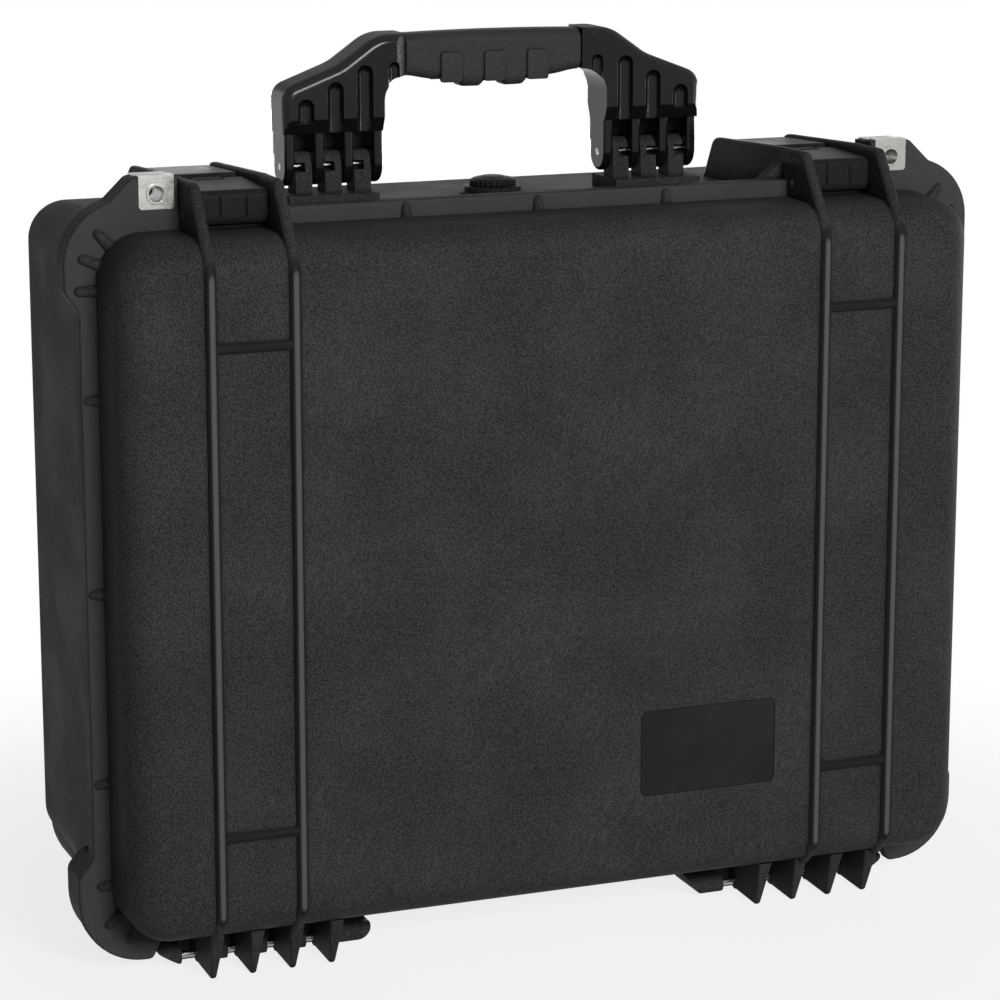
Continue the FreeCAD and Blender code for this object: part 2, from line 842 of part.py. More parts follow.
def make_latch_lever():
    """Lever with a full-width pad, a boss in the link's slot and the nose for the catch."""
    x0, x1 = latch_span(lever_side_gap)
    slot_half = lever_slot / 2 - latch_side_gap
    s0, s1 = rib_pair_x - slot_half, rib_pair_x + slot_half
    pad_front = lever_pin_reach + lever_boss + lever_gap
    pad_back = lever_pin_reach + lever_length
    tip_top = lever_z + lever_boss - lever_tip_drop
    pad_low = lever_z - lever_boss + lever_tip_drop
    pad = plate_yz([
        (pad_front, pad_low, lever_round),
        (pad_front, lever_z + lever_crown, lever_round),
        (pad_back, tip_top, lever_round),
        (pad_back, tip_top - lever_tip_thick, lever_round),
        ((pad_front + pad_back) / 2, pad_low, lever_length / 2),
    ], x0, x1)
    pad = soften_sides(pad, x0, x1, lever_round / 2, lambda b: True)
    tongue_back = pad_front + lever_round * 2
    tongue = block(s0, s1, lever_pin_reach, tongue_back, pad_low + touch, lever_z + lever_boss - touch)
    boss = rod_x(lever_boss - touch, s0, s1, lever_pin_reach, lever_z)
    lip_low = body_high_z + catch_top_rise - catch_lip_height
    toe_front = catch_face + nose_gap
    neck_front = catch_face + catch_lip + nose_gap
    toe_top = lip_low - nose_gap
    nose = plate_yz([
        (neck_front, lever_z, 0),
        (neck_front, toe_top, 0),
        (toe_front, toe_top, 0),
        (toe_front, toe_top - nose_toe, 0),
        (lever_pin_reach + nose_back, toe_top - nose_toe, 0),
        (lever_pin_reach + lever_boss - touch, lever_z, 0),
    ], s0, s1)
    bore = rod_x(lever_pin_radius + pin_gap, x0 - cut_over, x1 + cut_over, lever_pin_reach, lever_z)
    return joined(pad, [tongue, boss, nose]).cut(bore)


def make_link_pin():
    """Pin through the lid's ears that carries the link."""
    return rod_x(link_pin_radius, rib_xs[0] - rib_half, rib_xs[1] + rib_half, link_y, link_z)


def make_lever_pin():
    """Pin through the link's arms that carries the lever."""
    x0, x1 = latch_span(latch_side_gap)
    return rod_x(lever_pin_radius, x0, x1, lever_pin_reach, lever_z)


def make_padlock_plate(face_y, out, parting_y, seat_z):
    """Folded steel plate with its eyelet, on a flange face that looks along out."""
    half = plate_width / 2
    x0, x1 = padlock_x - half, padlock_x + half
    top = seat_z + plate_thick
    low = seat_z - plate_drop
    outer_y = face_y + out * plate_thick
    y0, y1 = sorted((face_y, outer_y))
    face = plate_xz([(x0, low, plate_round), (x1, low, plate_round), (x1, top, 0), (x0, top, 0)], y0, y1)
    y0, y1 = sorted((parting_y, outer_y))
    fold = block(x0, x1, y0, y1, seat_z, top)
    lip_y = outer_y + out * eyelet_lip
    y0, y1 = sorted((parting_y, lip_y))
    tube = rod_y(eyelet_radius, y0, y1, padlock_x, padlock_z)
    bore = rod_y(padlock_bore_radius, y0 - cut_over, y1 + cut_over, padlock_x, padlock_z)
    return joined(face, [fold, tube]).cut(bore)


def handle_slots():
    """Round grooves in the front and back of one handle leg, and the short one beside the grip."""
    gap_z = handle_z + leg_gap_rise
    inner_low = handle_top_z - opening_drop - opening_round / 2
    inner_x = handle_inner_half_x - inner_slot_in
    spans = [(inner_x, inner_slot_radius, inner_low, inner_low + inner_slot_height)]
    outer_gap = max(leg_gap_xs())
    rise_share = handle_shoulder_drop / handle_slope_run
    shoulder_z = handle_top_z - handle_shoulder_drop
    for x in leg_gap_xs():
        low = gap_z + outer_slot_lift if x == outer_gap else gap_z - cut_over
        top = shoulder_z + (handle_half_x - x) * rise_share - slot_top_drop
        spans.append((x, slot_radius, low, top - slot_radius))
    slots = []
    for x, radius, low, top in spans:
        for y in (handle_y - handle_half_thick, handle_y + handle_half_thick):
            slots.append(rod_z(radius, low, top, x, y))
            slots.append(Part.makeSphere(radius, Vector(x, y, top)))
    return slots


def leg_bevels():
    """Slanted cuts under the front and back of the legs, down to the thinner ribs."""
    gap_z = handle_z + leg_gap_rise
    bevels = []
    for sign in (-1, 1):
        rib_y = handle_y + sign * leg_rib_half_thick
        out_y = handle_y + sign * (handle_half_thick + cut_over)
        face_y = handle_y + sign * handle_half_thick
        corners = [(rib_y, gap_z, 0), (face_y, gap_z + leg_bevel_height, 0),
                   (out_y, gap_z + leg_bevel_height, 0), (out_y, gap_z, 0)]
        bevels.append(plate_yz(corners, -handle_half_x * 2, handle_half_x * 2))
    return bevels


def grip_tapers():
    """Slanted cuts at one leg's inner end, where its faces fall to the grip's."""
    x0, x1 = grip_half_x - cut_over, grip_half_x + grip_taper_run
    tapers = []
    for sign in (-1, 1):
        out_y = handle_y + sign * (handle_half_thick + cut_over)
        face_y = handle_y + sign * handle_half_thick
        grip_y = handle_y + sign * grip_half_thick
        corners = [(x0, grip_y, 0), (grip_half_x, grip_y, 0), (x1, face_y, 0),
                   (x1, out_y, 0), (x0, out_y, 0)]
        tapers.append(plate_xy(corners, handle_z, handle_top_z + cut_over))
    return tapers


def leg_ribs():
    """Ribs of one handle leg round its pin, with the web that joins them at the back."""
    gap_z = handle_z + leg_gap_rise
    low = handle_z - leg_rib_half_thick
    y0, y1 = handle_y - leg_rib_half_thick, handle_y + leg_rib_half_thick
    radius = leg_rib_half_thick - touch
    pieces = [block(handle_inner_half_x + touch, handle_foot_half_x - touch, y1 - leg_web_thick, y1 - touch,
                    gap_z - leg_web_height, gap_z)]
    for x in leg_rib_xs():
        x0, x1 = x - leg_rib_width / 2, x + leg_rib_width / 2
        rib = plate_yz([(y0, low, radius), (y1, low, radius), (y1, gap_z, 0), (y0, gap_z, 0)], x0, x1)
        pieces.append(soften_sides(rib, x0, x1, leg_rib_round, lambda b: b.ZMin < gap_z - touch))
    return pieces


def make_handle_frame():
    """Handle frame: two slotted legs with ribs for the pins, joined by a bar inside the grip."""
    gap_z = handle_z + leg_gap_rise
    y0, y1 = handle_y - handle_half_thick, handle_y + handle_half_thick
    right = [
        (handle_foot_half_x, handle_z - handle_half_thick, step_round),
        (handle_half_x, handle_top_z - handle_shoulder_drop, handle_shoulder_round),
        (handle_half_x - handle_notch_run, handle_top_z - handle_notch_drop, handle_notch_round),
        (handle_slope_half_x, handle_top_z, handle_slope_round),
    ]
    left = [(-x, z, radius) for x, z, radius in reversed(right)]
    frame = plate_xz(right + left, y0, y1)
    frame = frame.makeFillet(handle_edge_round, edges_at_y(frame, y0) + edges_at_y(frame, y1))
    inner = handle_inner_half_x
    opening_top = handle_top_z - opening_drop
    under = handle_z - handle_half_thick * 2
    window = plate_xz([(-inner, under, 0), (inner, under, 0), (inner, opening_top, opening_round),
                       (-inner, opening_top, opening_round)], y0 - cut_over, y1 + cut_over)
    below = block(-handle_half_x * 2, handle_half_x * 2, y0 - cut_over, y1 + cut_over, under, gap_z)
    grip_room = block(-grip_half_x, grip_half_x, y0 - cut_over, y1 + cut_over,
                      gap_z, handle_top_z + cut_over)
    legs = frame.cut([window, below, grip_room] + leg_bevels() + both_sides(handle_slots() + grip_tapers()))
    bar_z = handle_top_z - grip_height / 2
    bar_end = grip_half_x + bar_tuck
    frame = block(-bar_end, bar_end, handle_y - bar_half_thick, handle_y + bar_half_thick,
                  bar_z - bar_half_height, bar_z + bar_half_height)
    for piece in both_sides(leg_ribs()) + legs.Solids:
        frame = frame.fuse(piece)
    bore = rod_x(handle_pin_radius + pin_gap, handle_inner_half_x - cut_over, handle_half_x + cut_over,
                 handle_y, handle_z)
    return frame.cut(both_sides([bore]))


def make_handle_grip():
    """Soft grip round the handle's bar, with finger ridges below."""
    top = handle_top_z
    low = top - grip_height
    y0, y1 = handle_y - grip_half_thick, handle_y + grip_half_thick
    end_low = low + grip_end_rise
    lower = [(-grip_half_x, end_low, grip_edge_round)]
    half = finger_ridge_width / 2
    lead = half / 2
    first = -finger_ridge_pitch * (finger_ridge_count - 1) / 2
    for index in range(finger_ridge_count):
        x = first + finger_ridge_pitch * index
        lower.append((x - half, low, finger_ridge_round))
        lower.append((x - lead, low - finger_ridge, finger_ridge_round / 2))
        lower.append((x + lead, low - finger_ridge, finger_ridge_round / 2))
        lower.append((x + half, low, finger_ridge_round))
    lower.append((grip_half_x, end_low, grip_edge_round))
    outline = plate_xz(lower + [(grip_half_x, top, 0), (-grip_half_x, top, 0)], y0, y1)
    section = plate_yz([
        (y0, low - finger_ridge, grip_section_round),
        (y1, low - finger_ridge, grip_section_round),
        (y1, top, grip_section_round),
        (y0, top, grip_section_round),
    ], -grip_half_x, grip_half_x)
    grip = outline.common(section)
    bar_z = (top + low) / 2
    bar = block(-grip_half_x - cut_over, grip_half_x + cut_over, handle_y - bar_half_thick,
                handle_y + bar_half_thick, bar_z - bar_half_height, bar_z + bar_half_height)
    return grip.cut(bar)


def make_handle_pin(side):
    """Steel pin of one handle leg."""
    xs = sorted((side * handle_inner_half_x, side * handle_foot_half_x))
    return rod_x(handle_pin_radius, xs[0], xs[1], handle_y, handle_z)


def make_valve():
    """Pressure valve: body with flange and stem, cap, seal ring and nut."""
    flange_high = valve_z + valve_flange
    cap_top = flange_high + valve_cap_height
    inside_run = valve_y + valve_nut_radius + groove_depth + cut_over
    nut_top = body_high_z - wall - inside_run * slope - pin_gap
    nut_low = nut_top - valve_nut_height
    body = rod_z(valve_radius, valve_z, flange_high, 0, valve_y)
    stem = rod_z(valve_stem_radius, nut_low - valve_stem_over, valve_z, 0, valve_y)
    seal_room = valve_seal_radius + press_gap
    groove_top = valve_z + seal_room * 2
    groove = rod_z(valve_seal_ring + seal_room, valve_z - cut_over, groove_top, 0, valve_y)
    groove = groove.cut(rod_z(valve_seal_ring - seal_room, valve_z - cut_over, groove_top, 0, valve_y))
    ring = Part.makeTorus(valve_seal_ring, valve_seal_radius, Vector(0, valve_y, valve_z + seal_room))
    cap = rod_z(valve_cap_radius, flange_high, cap_top, 0, valve_y)
    cap = cap.makeFillet(valve_cap_round, edges_at_z(cap, cap_top))
    nut = rod_z(valve_nut_radius, nut_low, nut_top, 0, valve_y)
    thread = rod_z(valve_stem_radius + press_gap, nut_low - cut_over, nut_top + cut_over, 0, valve_y)
    return {
        "valve_body": body.fuse(stem).cut(groove),
        "valve_cap": cap,
        "valve_seal": ring,
        "valve_nut": nut.cut(thread),
    }


def all_pieces():
    """Every piece of the case by name, drawn about the parting plane."""
    pieces = {
        "lid_shell": make_lid_shell(),
        "base_shell": make_base_shell(),
        "lid_seal": make_lid_seal(),
        "label_plate": make_label_plate(),
        "handle_frame": make_handle_frame(),
        "handle_grip": make_handle_grip(),
    }
    base_seat_z = padlock_top_z - base_flange_inset
    paired = {
        "latch_link": make_latch_link(),
        "latch_lever": make_latch_lever(),
        "latch_link_pin": make_link_pin(),
        "latch_lever_pin": make_lever_pin(),
        "lid_padlock_plate": make_padlock_plate(-lid_flange, -1, -press_gap, padlock_top_z),
        "base_padlock_plate": make_padlock_plate(bulge_thick, 1, press_gap, base_seat_z),
    }
    for side, sign in SIDES.items():
        for name, shape in paired.items():
            pieces[side + "_" + name] = shape if sign > 0 else mirrored(shape)
        pieces[side + "_hinge_pin"] = make_hinge_pin(sign)
        pieces[side + "_handle_pin"] = make_handle_pin(sign)
    pieces.update(make_valve())
    return pieces


os.makedirs("parts", exist_ok=True)
for node, shape in all_pieces().items():
    shape = shape.Solids[0]
    shape.translate(Vector(0, centre_shift, 0))
    shape.exportStep("parts/" + node + ".step")
    box = shape.BoundBox
    print(node, shape.ShapeType, len(shape.Solids), shape.isValid(), round(shape.Volume),
          [round(v, 2) for v in (box.XMin, box.XMax, box.YMin, box.YMax, box.ZMin, box.ZMax)])
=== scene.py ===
import json
import math

import bmesh
import bpy
from bpy.props import FloatProperty, FloatVectorProperty, IntProperty, PointerProperty
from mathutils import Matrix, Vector


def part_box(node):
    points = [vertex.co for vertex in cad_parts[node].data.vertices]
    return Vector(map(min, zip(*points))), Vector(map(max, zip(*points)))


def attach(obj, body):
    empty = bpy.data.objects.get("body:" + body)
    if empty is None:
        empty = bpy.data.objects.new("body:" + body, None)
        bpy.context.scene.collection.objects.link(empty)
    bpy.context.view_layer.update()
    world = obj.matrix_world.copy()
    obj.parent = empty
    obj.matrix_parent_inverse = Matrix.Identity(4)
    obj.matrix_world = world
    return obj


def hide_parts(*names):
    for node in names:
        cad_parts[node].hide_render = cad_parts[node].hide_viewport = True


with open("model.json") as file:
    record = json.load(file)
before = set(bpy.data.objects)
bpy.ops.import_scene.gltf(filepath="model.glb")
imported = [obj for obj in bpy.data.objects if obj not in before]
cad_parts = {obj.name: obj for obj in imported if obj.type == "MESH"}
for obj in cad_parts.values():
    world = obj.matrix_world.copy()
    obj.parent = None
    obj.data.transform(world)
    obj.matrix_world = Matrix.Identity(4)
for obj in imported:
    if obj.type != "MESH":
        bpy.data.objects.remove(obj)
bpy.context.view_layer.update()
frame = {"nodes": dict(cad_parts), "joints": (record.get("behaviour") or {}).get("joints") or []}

bl_info = {
    "name": "Protective Case Finish",
    "version": (1, 0, 0),
    "blender": (4, 5, 0),
    "location": "View3D > Sidebar > Case",
    "description": "Finishes, soft grip, valve knob and studio for a moulded protective case",
    "category": "Object",
}

NODES = frame["nodes"]
JOINTS = {joint["name"]: joint for joint in frame["joints"]}
SIDES = ("left", "right")
WHITE = (1.0, 1.0, 1.0, 1.0)
GRIP_LOW, GRIP_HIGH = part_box("handle_grip")
CAP_LOW, CAP_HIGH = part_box("valve_cap")

# Faces of the lid that its finish follows, by their place along Y

FRONT_RIB_PROUD = 0.003
LID_FLANGE = 0.007
RIB_CREST_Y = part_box("lid_shell")[0].y
LID_FACE_Y = RIB_CREST_Y + FRONT_RIB_PROUD
FLANGE_FACE_Y = JOINTS["lid_hinge"]["pos_m"][1] - LID_FLANGE

# Outline of the valve knob, as shares of its radius and height, and the share of its height that is ribbed

KNOB_OUTLINE_SHARES = ((1.0, 0.0), (1.0, 0.5), (0.97, 0.68), (0.9, 0.8), (0.78, 0.86), (0.62, 0.88),
                       (0.56, 0.96), (0.5, 1.0), (0.2, 1.0))
KNOB_RIB_SHARE = 0.62

# Lamps of the studio: place, target, width and height

CASE_MIDDLE = (0.0, 0.0, 0.25)
CASE_TOP = (0.0, 0.0, 0.4)
LAMPS = {
    "key": ((0.15, -2.9, 1.35), CASE_MIDDLE, 1.1, 0.8),
    "fill": ((-2.2, -2.0, 0.9), CASE_MIDDLE, 1.2, 1.2),
    "back": ((0.8, 2.6, 0.21), CASE_MIDDLE, 1.8, 0.36),
    "side": ((2.7, 0.6, 0.21), CASE_MIDDLE, 1.4, 0.36),
    "strip": ((2.2, -1.7, 0.3), CASE_TOP, 0.28, 0.5),
}


# Property helpers

def colour(name, description, default):
    """Colour property with its name, description and default."""
    return FloatVectorProperty(name=name, description=description, default=default, subtype="COLOR",
                               size=3, min=0.0, max=1.0)


def length(name, description, default):
    """Length property in metres."""
    return FloatProperty(name=name, description=description, default=default, subtype="DISTANCE",
                         unit="LENGTH", precision=5)


def share(name, description, default):
    """Property between nothing and all."""
    return FloatProperty(name=name, description=description, default=default, subtype="FACTOR",
                         min=0.0, max=1.0)


def count(name, description, default):
    """Property for how many of a thing there are."""
    return IntProperty(name=name, description=description, default=default, min=1)


def angle(name, description, degrees):
    """Angle property, given in degrees."""
    return FloatProperty(name=name, description=description, default=math.radians(degrees),
                         subtype="ANGLE", unit="ROTATION")


def power(name, description, default):
    """Lamp power property in watts."""
    return FloatProperty(name=name, description=description, default=default, min=0.0, unit="POWER")


class CaseFinishes(bpy.types.PropertyGroup):
    """Colours and surface detail of the case's materials."""
    shell_colour: colour("Shell colour", "Black of the moulded lid and base", (0.0285, 0.0285, 0.0275))
    shell_roughness: share("Shell roughness", "Mean roughness of the moulded grain", 0.5)
    grain_size: length("Grain size", "Width of one bump of the moulded grain", 0.00085)
    mottle_size: length("Mottle size", "Width of the cloudy patches in the black", 0.045)
    scuff_share: share("Scuffs", "How strongly the rubbed streaks show on the lid", 0.28)
    edge_wear: share("Edge wear", "How much lighter the rubbed edges are", 0.3)
    latch_colour: colour("Latch colour", "Black of the latch links and levers", (0.015, 0.015, 0.0147))
    handle_colour: colour("Handle colour", "Black of the polished handle frame", (0.005, 0.005, 0.0048))
    grip_colour: colour("Grip colour", "Black of the soft grip", (0.031, 0.031, 0.0295))
    seal_colour: colour("Seal colour", "Grey of the rubber seals", (0.035, 0.035, 0.036))
    label_colour: colour("Label colour", "Black of the bare label film", (0.011, 0.011, 0.011))
    steel_colour: colour("Steel colour", "Tone of the padlock plates and pins", (0.40, 0.39, 0.375))


class CaseSizes(bpy.types.PropertyGroup):
    """Sizes of the grip and the valve knob."""
    grip_crown: length("Grip crown", "Height of the middle of the grip's top over its ends", 0.0008)
    grip_corner: length("Grip corner", "Radius of the grip's section corners", 0.006)
    grip_end: length("Grip end", "Radius that the grip's ends are rounded to", 0.0015)
    grip_end_rise: length("Grip end rise", "How much higher the grip's underside is at its ends", 0.0045)
    ridge_height: length("Ridge height", "Depth of the finger ridges under the grip", 0.0028)
    ridge_width: length("Ridge width", "Width of one finger ridge", 0.013)
    ridge_pitch: length("Ridge pitch", "Distance from ridge to ridge", 0.0255)
    ridge_count: count("Ridges", "Number of finger ridges", 2)
    swell_height: length("Swell height", "Depth of the low swell beside each outer ridge", 0.0008)
    pad_count: count("Pads", "Number of pads on each face of the grip", 3)
    pad_width: length("Pad width", "Width of one pad of the grip", 0.0125)
    pad_height: length("Pad height", "Height of one pad of the grip", 0.0165)
    pad_rise: length("Pad rise", "Height of a pad's middle over the grip's underside", 0.0085)
    pad_proud: length("Pad proud", "How far a pad stands out of the grip", 0.0007)
    knob_rib_count: count("Knob ribs", "Number of ribs round the valve knob", 26)
    knob_rib_radius: length("Knob rib radius", "Radius of one rib of the valve knob", 0.0009)


class CaseStage(bpy.types.PropertyGroup):
    """Camera, lamps and floor of the studio."""
    camera_place: FloatVectorProperty(name="Camera place", description="Where the camera stands",
                                      default=(-0.69357, -1.75941, 0.66255), subtype="TRANSLATION",
                                      unit="LENGTH")
    camera_turn: angle("Camera turn", "Turn of the camera about the upright axis", -21.57)
    camera_dip: angle("Camera dip", "How far the camera looks down", 12.84)
    camera_lens: FloatProperty(name="Lens", description="Focal length on a 36 mm wide sensor, in mm",
                               default=123.3, min=1.0, unit="CAMERA")
    floor_colour: colour("Floor colour", "Pale tone of the floor", (0.86, 0.86, 0.86))
    floor_size: length("Floor size", "Side of the floor", 8.0)
    fade_start: length("Fade start", "Distance at which the floor begins to turn white", 0.24)
    fade_end: length("Fade end", "Distance at which the floor is wholly white", 0.6)
    near_white: share("Near white", "Share of white in the floor close to the case", 0.8)
    sky_level: share("Sky level", "Even light that the studio walls give", 0.03)
    key_power: power("Key power", "Power of the front lamp, in watts", 80.0)
    fill_power: power("Fill power", "Power of the weak lamp on the camera's side, in watts", 1.5)
    back_power: power("Back power", "Power of the low lamp behind the case, in watts", 50.0)
    side_power: power("Side power", "Power of the low lamp on the case's right, in watts", 26.0)
    strip_power: power("Strip power", "Power of the narrow lamp at the right front, in watts", 6.0)


# Node helpers

def add(tree, kind, inputs=None, **settings):
    """Adds a node with its settings, and feeds its inputs with plain values or other nodes' outputs."""
    made = tree.nodes.new(kind)
    for key, value in settings.items():
        setattr(made, key, value)
    for key, value in (inputs or {}).items():
        if isinstance(value, bpy.types.NodeSocket):
            tree.links.new(value, made.inputs[key])
        else:
            made.inputs[key].default_value = value
    return made


def math_node(tree, operation, first, second=0.0):
    """Output of a Math node."""
    return add(tree, "ShaderNodeMath", {0: first, 1: second}, operation=operation).outputs[0]


def ramp(tree, value, low, high, out_low=0.0, out_high=1.0):
    """Output of a smooth Map Range node."""
    made = add(tree, "ShaderNodeMapRange", {"Value": value, "From Min": low, "From Max": high,
                                            "To Min": out_low, "To Max": out_high})
    made.interpolation_type = "SMOOTHSTEP"
    return made.outputs["Result"]


def mix_colour(tree, factor, first, second):
    """Output of a Mix node between two colours, each a socket or a plain tone."""
    factor_input, first_input, second_input, colour_output = 0, 6, 7, 2
    made = add(tree, "ShaderNodeMix", {factor_input: factor, first_input: first, second_input: second},
               data_type="RGBA")
    return made.outputs[colour_output]


def tone(base, level):
    """Colour with all its channels times level, as a Mix node takes it."""
    return [min(1.0, channel * level) for channel in base] + [1.0]


def new_group(name, inputs, outputs):
    """Shader node group with named inputs (name: default, or None for a vector) and named outputs."""
    tree = bpy.data.node_groups.new(name, "ShaderNodeTree")
    for label, default in inputs.items():
        kind = "NodeSocketVector" if default is None else "NodeSocketFloat"
        socket = tree.interface.new_socket(label, in_out="INPUT", socket_type=kind)
        if default is not None:
            socket.default_value = default
    for label in outputs:
        tree.interface.new_socket(label, in_out="OUTPUT", socket_type="NodeSocketFloat")
    return tree, add(tree, "NodeGroupInput").outputs, add(tree, "NodeGroupOutput").inputs


def group_output(tree, name, inputs):
    """Outputs of a shader group placed in a material with its own values."""
    return add(tree, "ShaderNodeGroup", inputs, node_tree=bpy.data.node_groups[name]).outputs


def noise(tree, place, size, detail):
    """Noise value whose features are about size wide."""
    scale = math_node(tree, "DIVIDE", 1.0, size)
    made = add(tree, "ShaderNodeTexNoise", {"Vector": place, "Scale": scale, "Detail": detail})
    return made.outputs["Fac"]


def turned(tree, place, turn, stretch):
    """Coordinates turned about Y and then drawn out along the turned X."""
    round_y = add(tree, "ShaderNodeMapping", {"Vector": place, "Rotation": (0.0, turn, 0.0)})
    drawn = add(tree, "ShaderNodeMapping", {"Vector": round_y.outputs["Vector"],
                                            "Scale": (1.0 / stretch, 1.0, 1.0)})
    return drawn.outputs["Vector"]


def object_place(tree):
    """Object coordinates, which every pattern follows."""
    return add(tree, "ShaderNodeTexCoord").outputs["Object"]


# Shared effects

def build_moulded_grain():
    """Fine bumps and cloudy tone of grained plastic and rubber."""
    cloud_band = 0.32, 0.68
    speckle_band = 0.34, 0.66
    tree, given, out = new_group("Moulded grain",
                                 {"Vector": None, "Grain Size": 0.001, "Mottle Size": 0.04},
                                 ("Height", "Tone", "Speckle"))
    fine = noise(tree, given["Vector"], given["Grain Size"], detail=2.0)
    cloud = noise(tree, given["Vector"], given["Mottle Size"], detail=4.0)
    tree.links.new(fine, out["Height"])
    tree.links.new(ramp(tree, cloud, *cloud_band), out["Tone"])
    tree.links.new(ramp(tree, fine, *speckle_band), out["Speckle"])


def build_worn_edges():
    """Mask along the edges, broken up as rubbing leaves it."""
    bend_band = 0.02, 0.22
    break_band = 0.35, 0.65
    tree, given, out = new_group("Worn edges", {"Vector": None, "Width": 0.001, "Break Size": 0.01},
                                 ("Edge",))
    bevel = add(tree, "ShaderNodeBevel", {"Radius": given["Width"]}, samples=4).outputs["Normal"]
    flat = add(tree, "ShaderNodeNewGeometry").outputs["Normal"]
    align = add(tree, "ShaderNodeVectorMath", {0: bevel, 1: flat}, operation="DOT_PRODUCT").outputs["Value"]
    edge = ramp(tree, math_node(tree, "SUBTRACT", 1.0, align), *bend_band)
    breaks = ramp(tree, noise(tree, given["Vector"], given["Break Size"], detail=3.0), *break_band)
    tree.links.new(math_node(tree, "MULTIPLY", edge, breaks), out["Edge"])


def build_painted_crease_shade():
    """Mask for painted shade: low in creases and in the corners where ribs meet the wall, where the AO node
    finds the surface hemmed in.
    """
    unshaded_band = 0.42, 0.9
    tree, given, out = new_group("Creases", {"Reach": 0.005}, ("Open",))
    # Painted shade: this AO mask marks creases and corners, which the materials then darken.
    sky = add(tree, "ShaderNodeAmbientOcclusion", {"Distance": given["Reach"]}, samples=6).outputs["AO"]
    tree.links.new(ramp(tree, sky, *unshaded_band), out["Open"])


def build_scuffs():
    """Fine rubbed streaks in two directions, gathered in patches."""
    streak_turns = math.radians(62.0), math.radians(74.0)
    streak_stretch = 7.0
    streak_band = 0.56, 0.72
    patch_band = 0.46, 0.70
    tree, given, out = new_group("Scuffs", {"Vector": None, "Streak Size": 0.0012, "Patch Size": 0.09},
                                 ("Scuff",))
    streaks = 0.0
    for turn in streak_turns:
        along = turned(tree, given["Vector"], turn, streak_stretch)
        line = ramp(tree, noise(tree, along, given["Streak Size"], detail=1.0), *streak_band)
        streaks = math_node(tree, "MAXIMUM", line, streaks)
    patches = ramp(tree, noise(tree, given["Vector"], given["Patch Size"], detail=3.0), *patch_band)
    tree.links.new(math_node(tree, "MULTIPLY", streaks, patches), out["Scuff"])


def build_brushed_lines():
    """Fine lines that rolling and brushing leave in steel."""
    line_stretch = 30.0
    line_band = 0.3, 0.7
    tree, given, out = new_group("Brushed lines", {"Vector": None, "Line Size": 0.0003}, ("Height", "Tone"))
    along = turned(tree, given["Vector"], 0.0, line_stretch)
    lines = noise(tree, along, given["Line Size"], detail=3.0)
    tree.links.new(lines, out["Height"])
    tree.links.new(ramp(tree, lines, *line_band), out["Tone"])


def build_effects():
    """Builds every shared effect once."""
    if "Moulded grain" not in bpy.data.node_groups:
        build_moulded_grain()
        build_worn_edges()
        build_painted_crease_shade()
        build_scuffs()
        build_brushed_lines()


# Materials

def new_material(name, **sockets):
    """Material whose Principled shader has these plain values; gives it, its tree and the shader."""
    made = bpy.data.materials.new(name)
    made.use_nodes = True
    shader = made.node_tree.nodes["Principled BSDF"]
    for label, value in sockets.items():
        shader.inputs[label.replace("_", " ")].default_value = value
    return made, made.node_tree, shader


def set_normal(tree, shader, height, depth, rounding=0.0):
    """Feeds the shader's normal with bumps of the given depth over edges softened by rounding."""
    inputs = {"Height": height, "Distance": depth, "Strength": 1.0}
    if rounding:
        inputs["Normal"] = add(tree, "ShaderNodeBevel", {"Radius": rounding}, samples=4).outputs["Normal"]
    bump = add(tree, "ShaderNodeBump", inputs)
    tree.links.new(bump.outputs["Normal"], shader.inputs["Normal"])


def moulded_plastic(name, base, roughness, grain_size, depth, specular, wear, rounding, speckle=1.0):
    """Grained or satin plastic with cloudy tone, worn edges and painted shade in its creases, and the nodes
    to add to.
    """
    worn_width = 0.0012
    break_size = 0.012
    crease_shade_reach = 0.0032
    crease_shade_tone = 0.2
    worn_tone = 3.5
    darker_shares = 0.47, 0.31
    lighter_shares = 0.45, 0.7
    rough_swing = -0.04, 0.05
    looks = bpy.context.scene.case_finishes
    made, tree, shader = new_material(name, Specular_IOR_Level=specular)
    place = object_place(tree)
    grain = group_output(tree, "Moulded grain", {"Vector": place, "Grain Size": grain_size,
                                                 "Mottle Size": looks.mottle_size})
    edge = group_output(tree, "Worn edges", {"Vector": place, "Width": worn_width,
                                             "Break Size": break_size})["Edge"]
    unshaded_face = group_output(tree, "Creases", {"Reach": crease_shade_reach})["Open"]
    dark = mix_colour(tree, grain["Tone"], *(tone(base, 1 - by * speckle) for by in darker_shares))
    light = mix_colour(tree, grain["Tone"], *(tone(base, 1 + by * speckle) for by in lighter_shares))
    speckled = mix_colour(tree, grain["Speckle"], dark, light)
    # Painted shade: the colour goes darker in creases and corners, where the AO mask is low.
    crease_shaded = mix_colour(tree, unshaded_face, tone(base, crease_shade_tone), speckled)
    shade_and_wear = mix_colour(tree, math_node(tree, "MULTIPLY", edge, wear), crease_shaded, tone(base, worn_tone))
    rough = ramp(tree, grain["Tone"], 0.0, 1.0, *(roughness + by for by in rough_swing))
    tree.links.new(shade_and_wear, shader.inputs["Base Color"])
    tree.links.new(rough, shader.inputs["Roughness"])
    set_normal(tree, shader, grain["Height"], depth, rounding)
    return made, tree, shader, place, shade_and_wear, rough


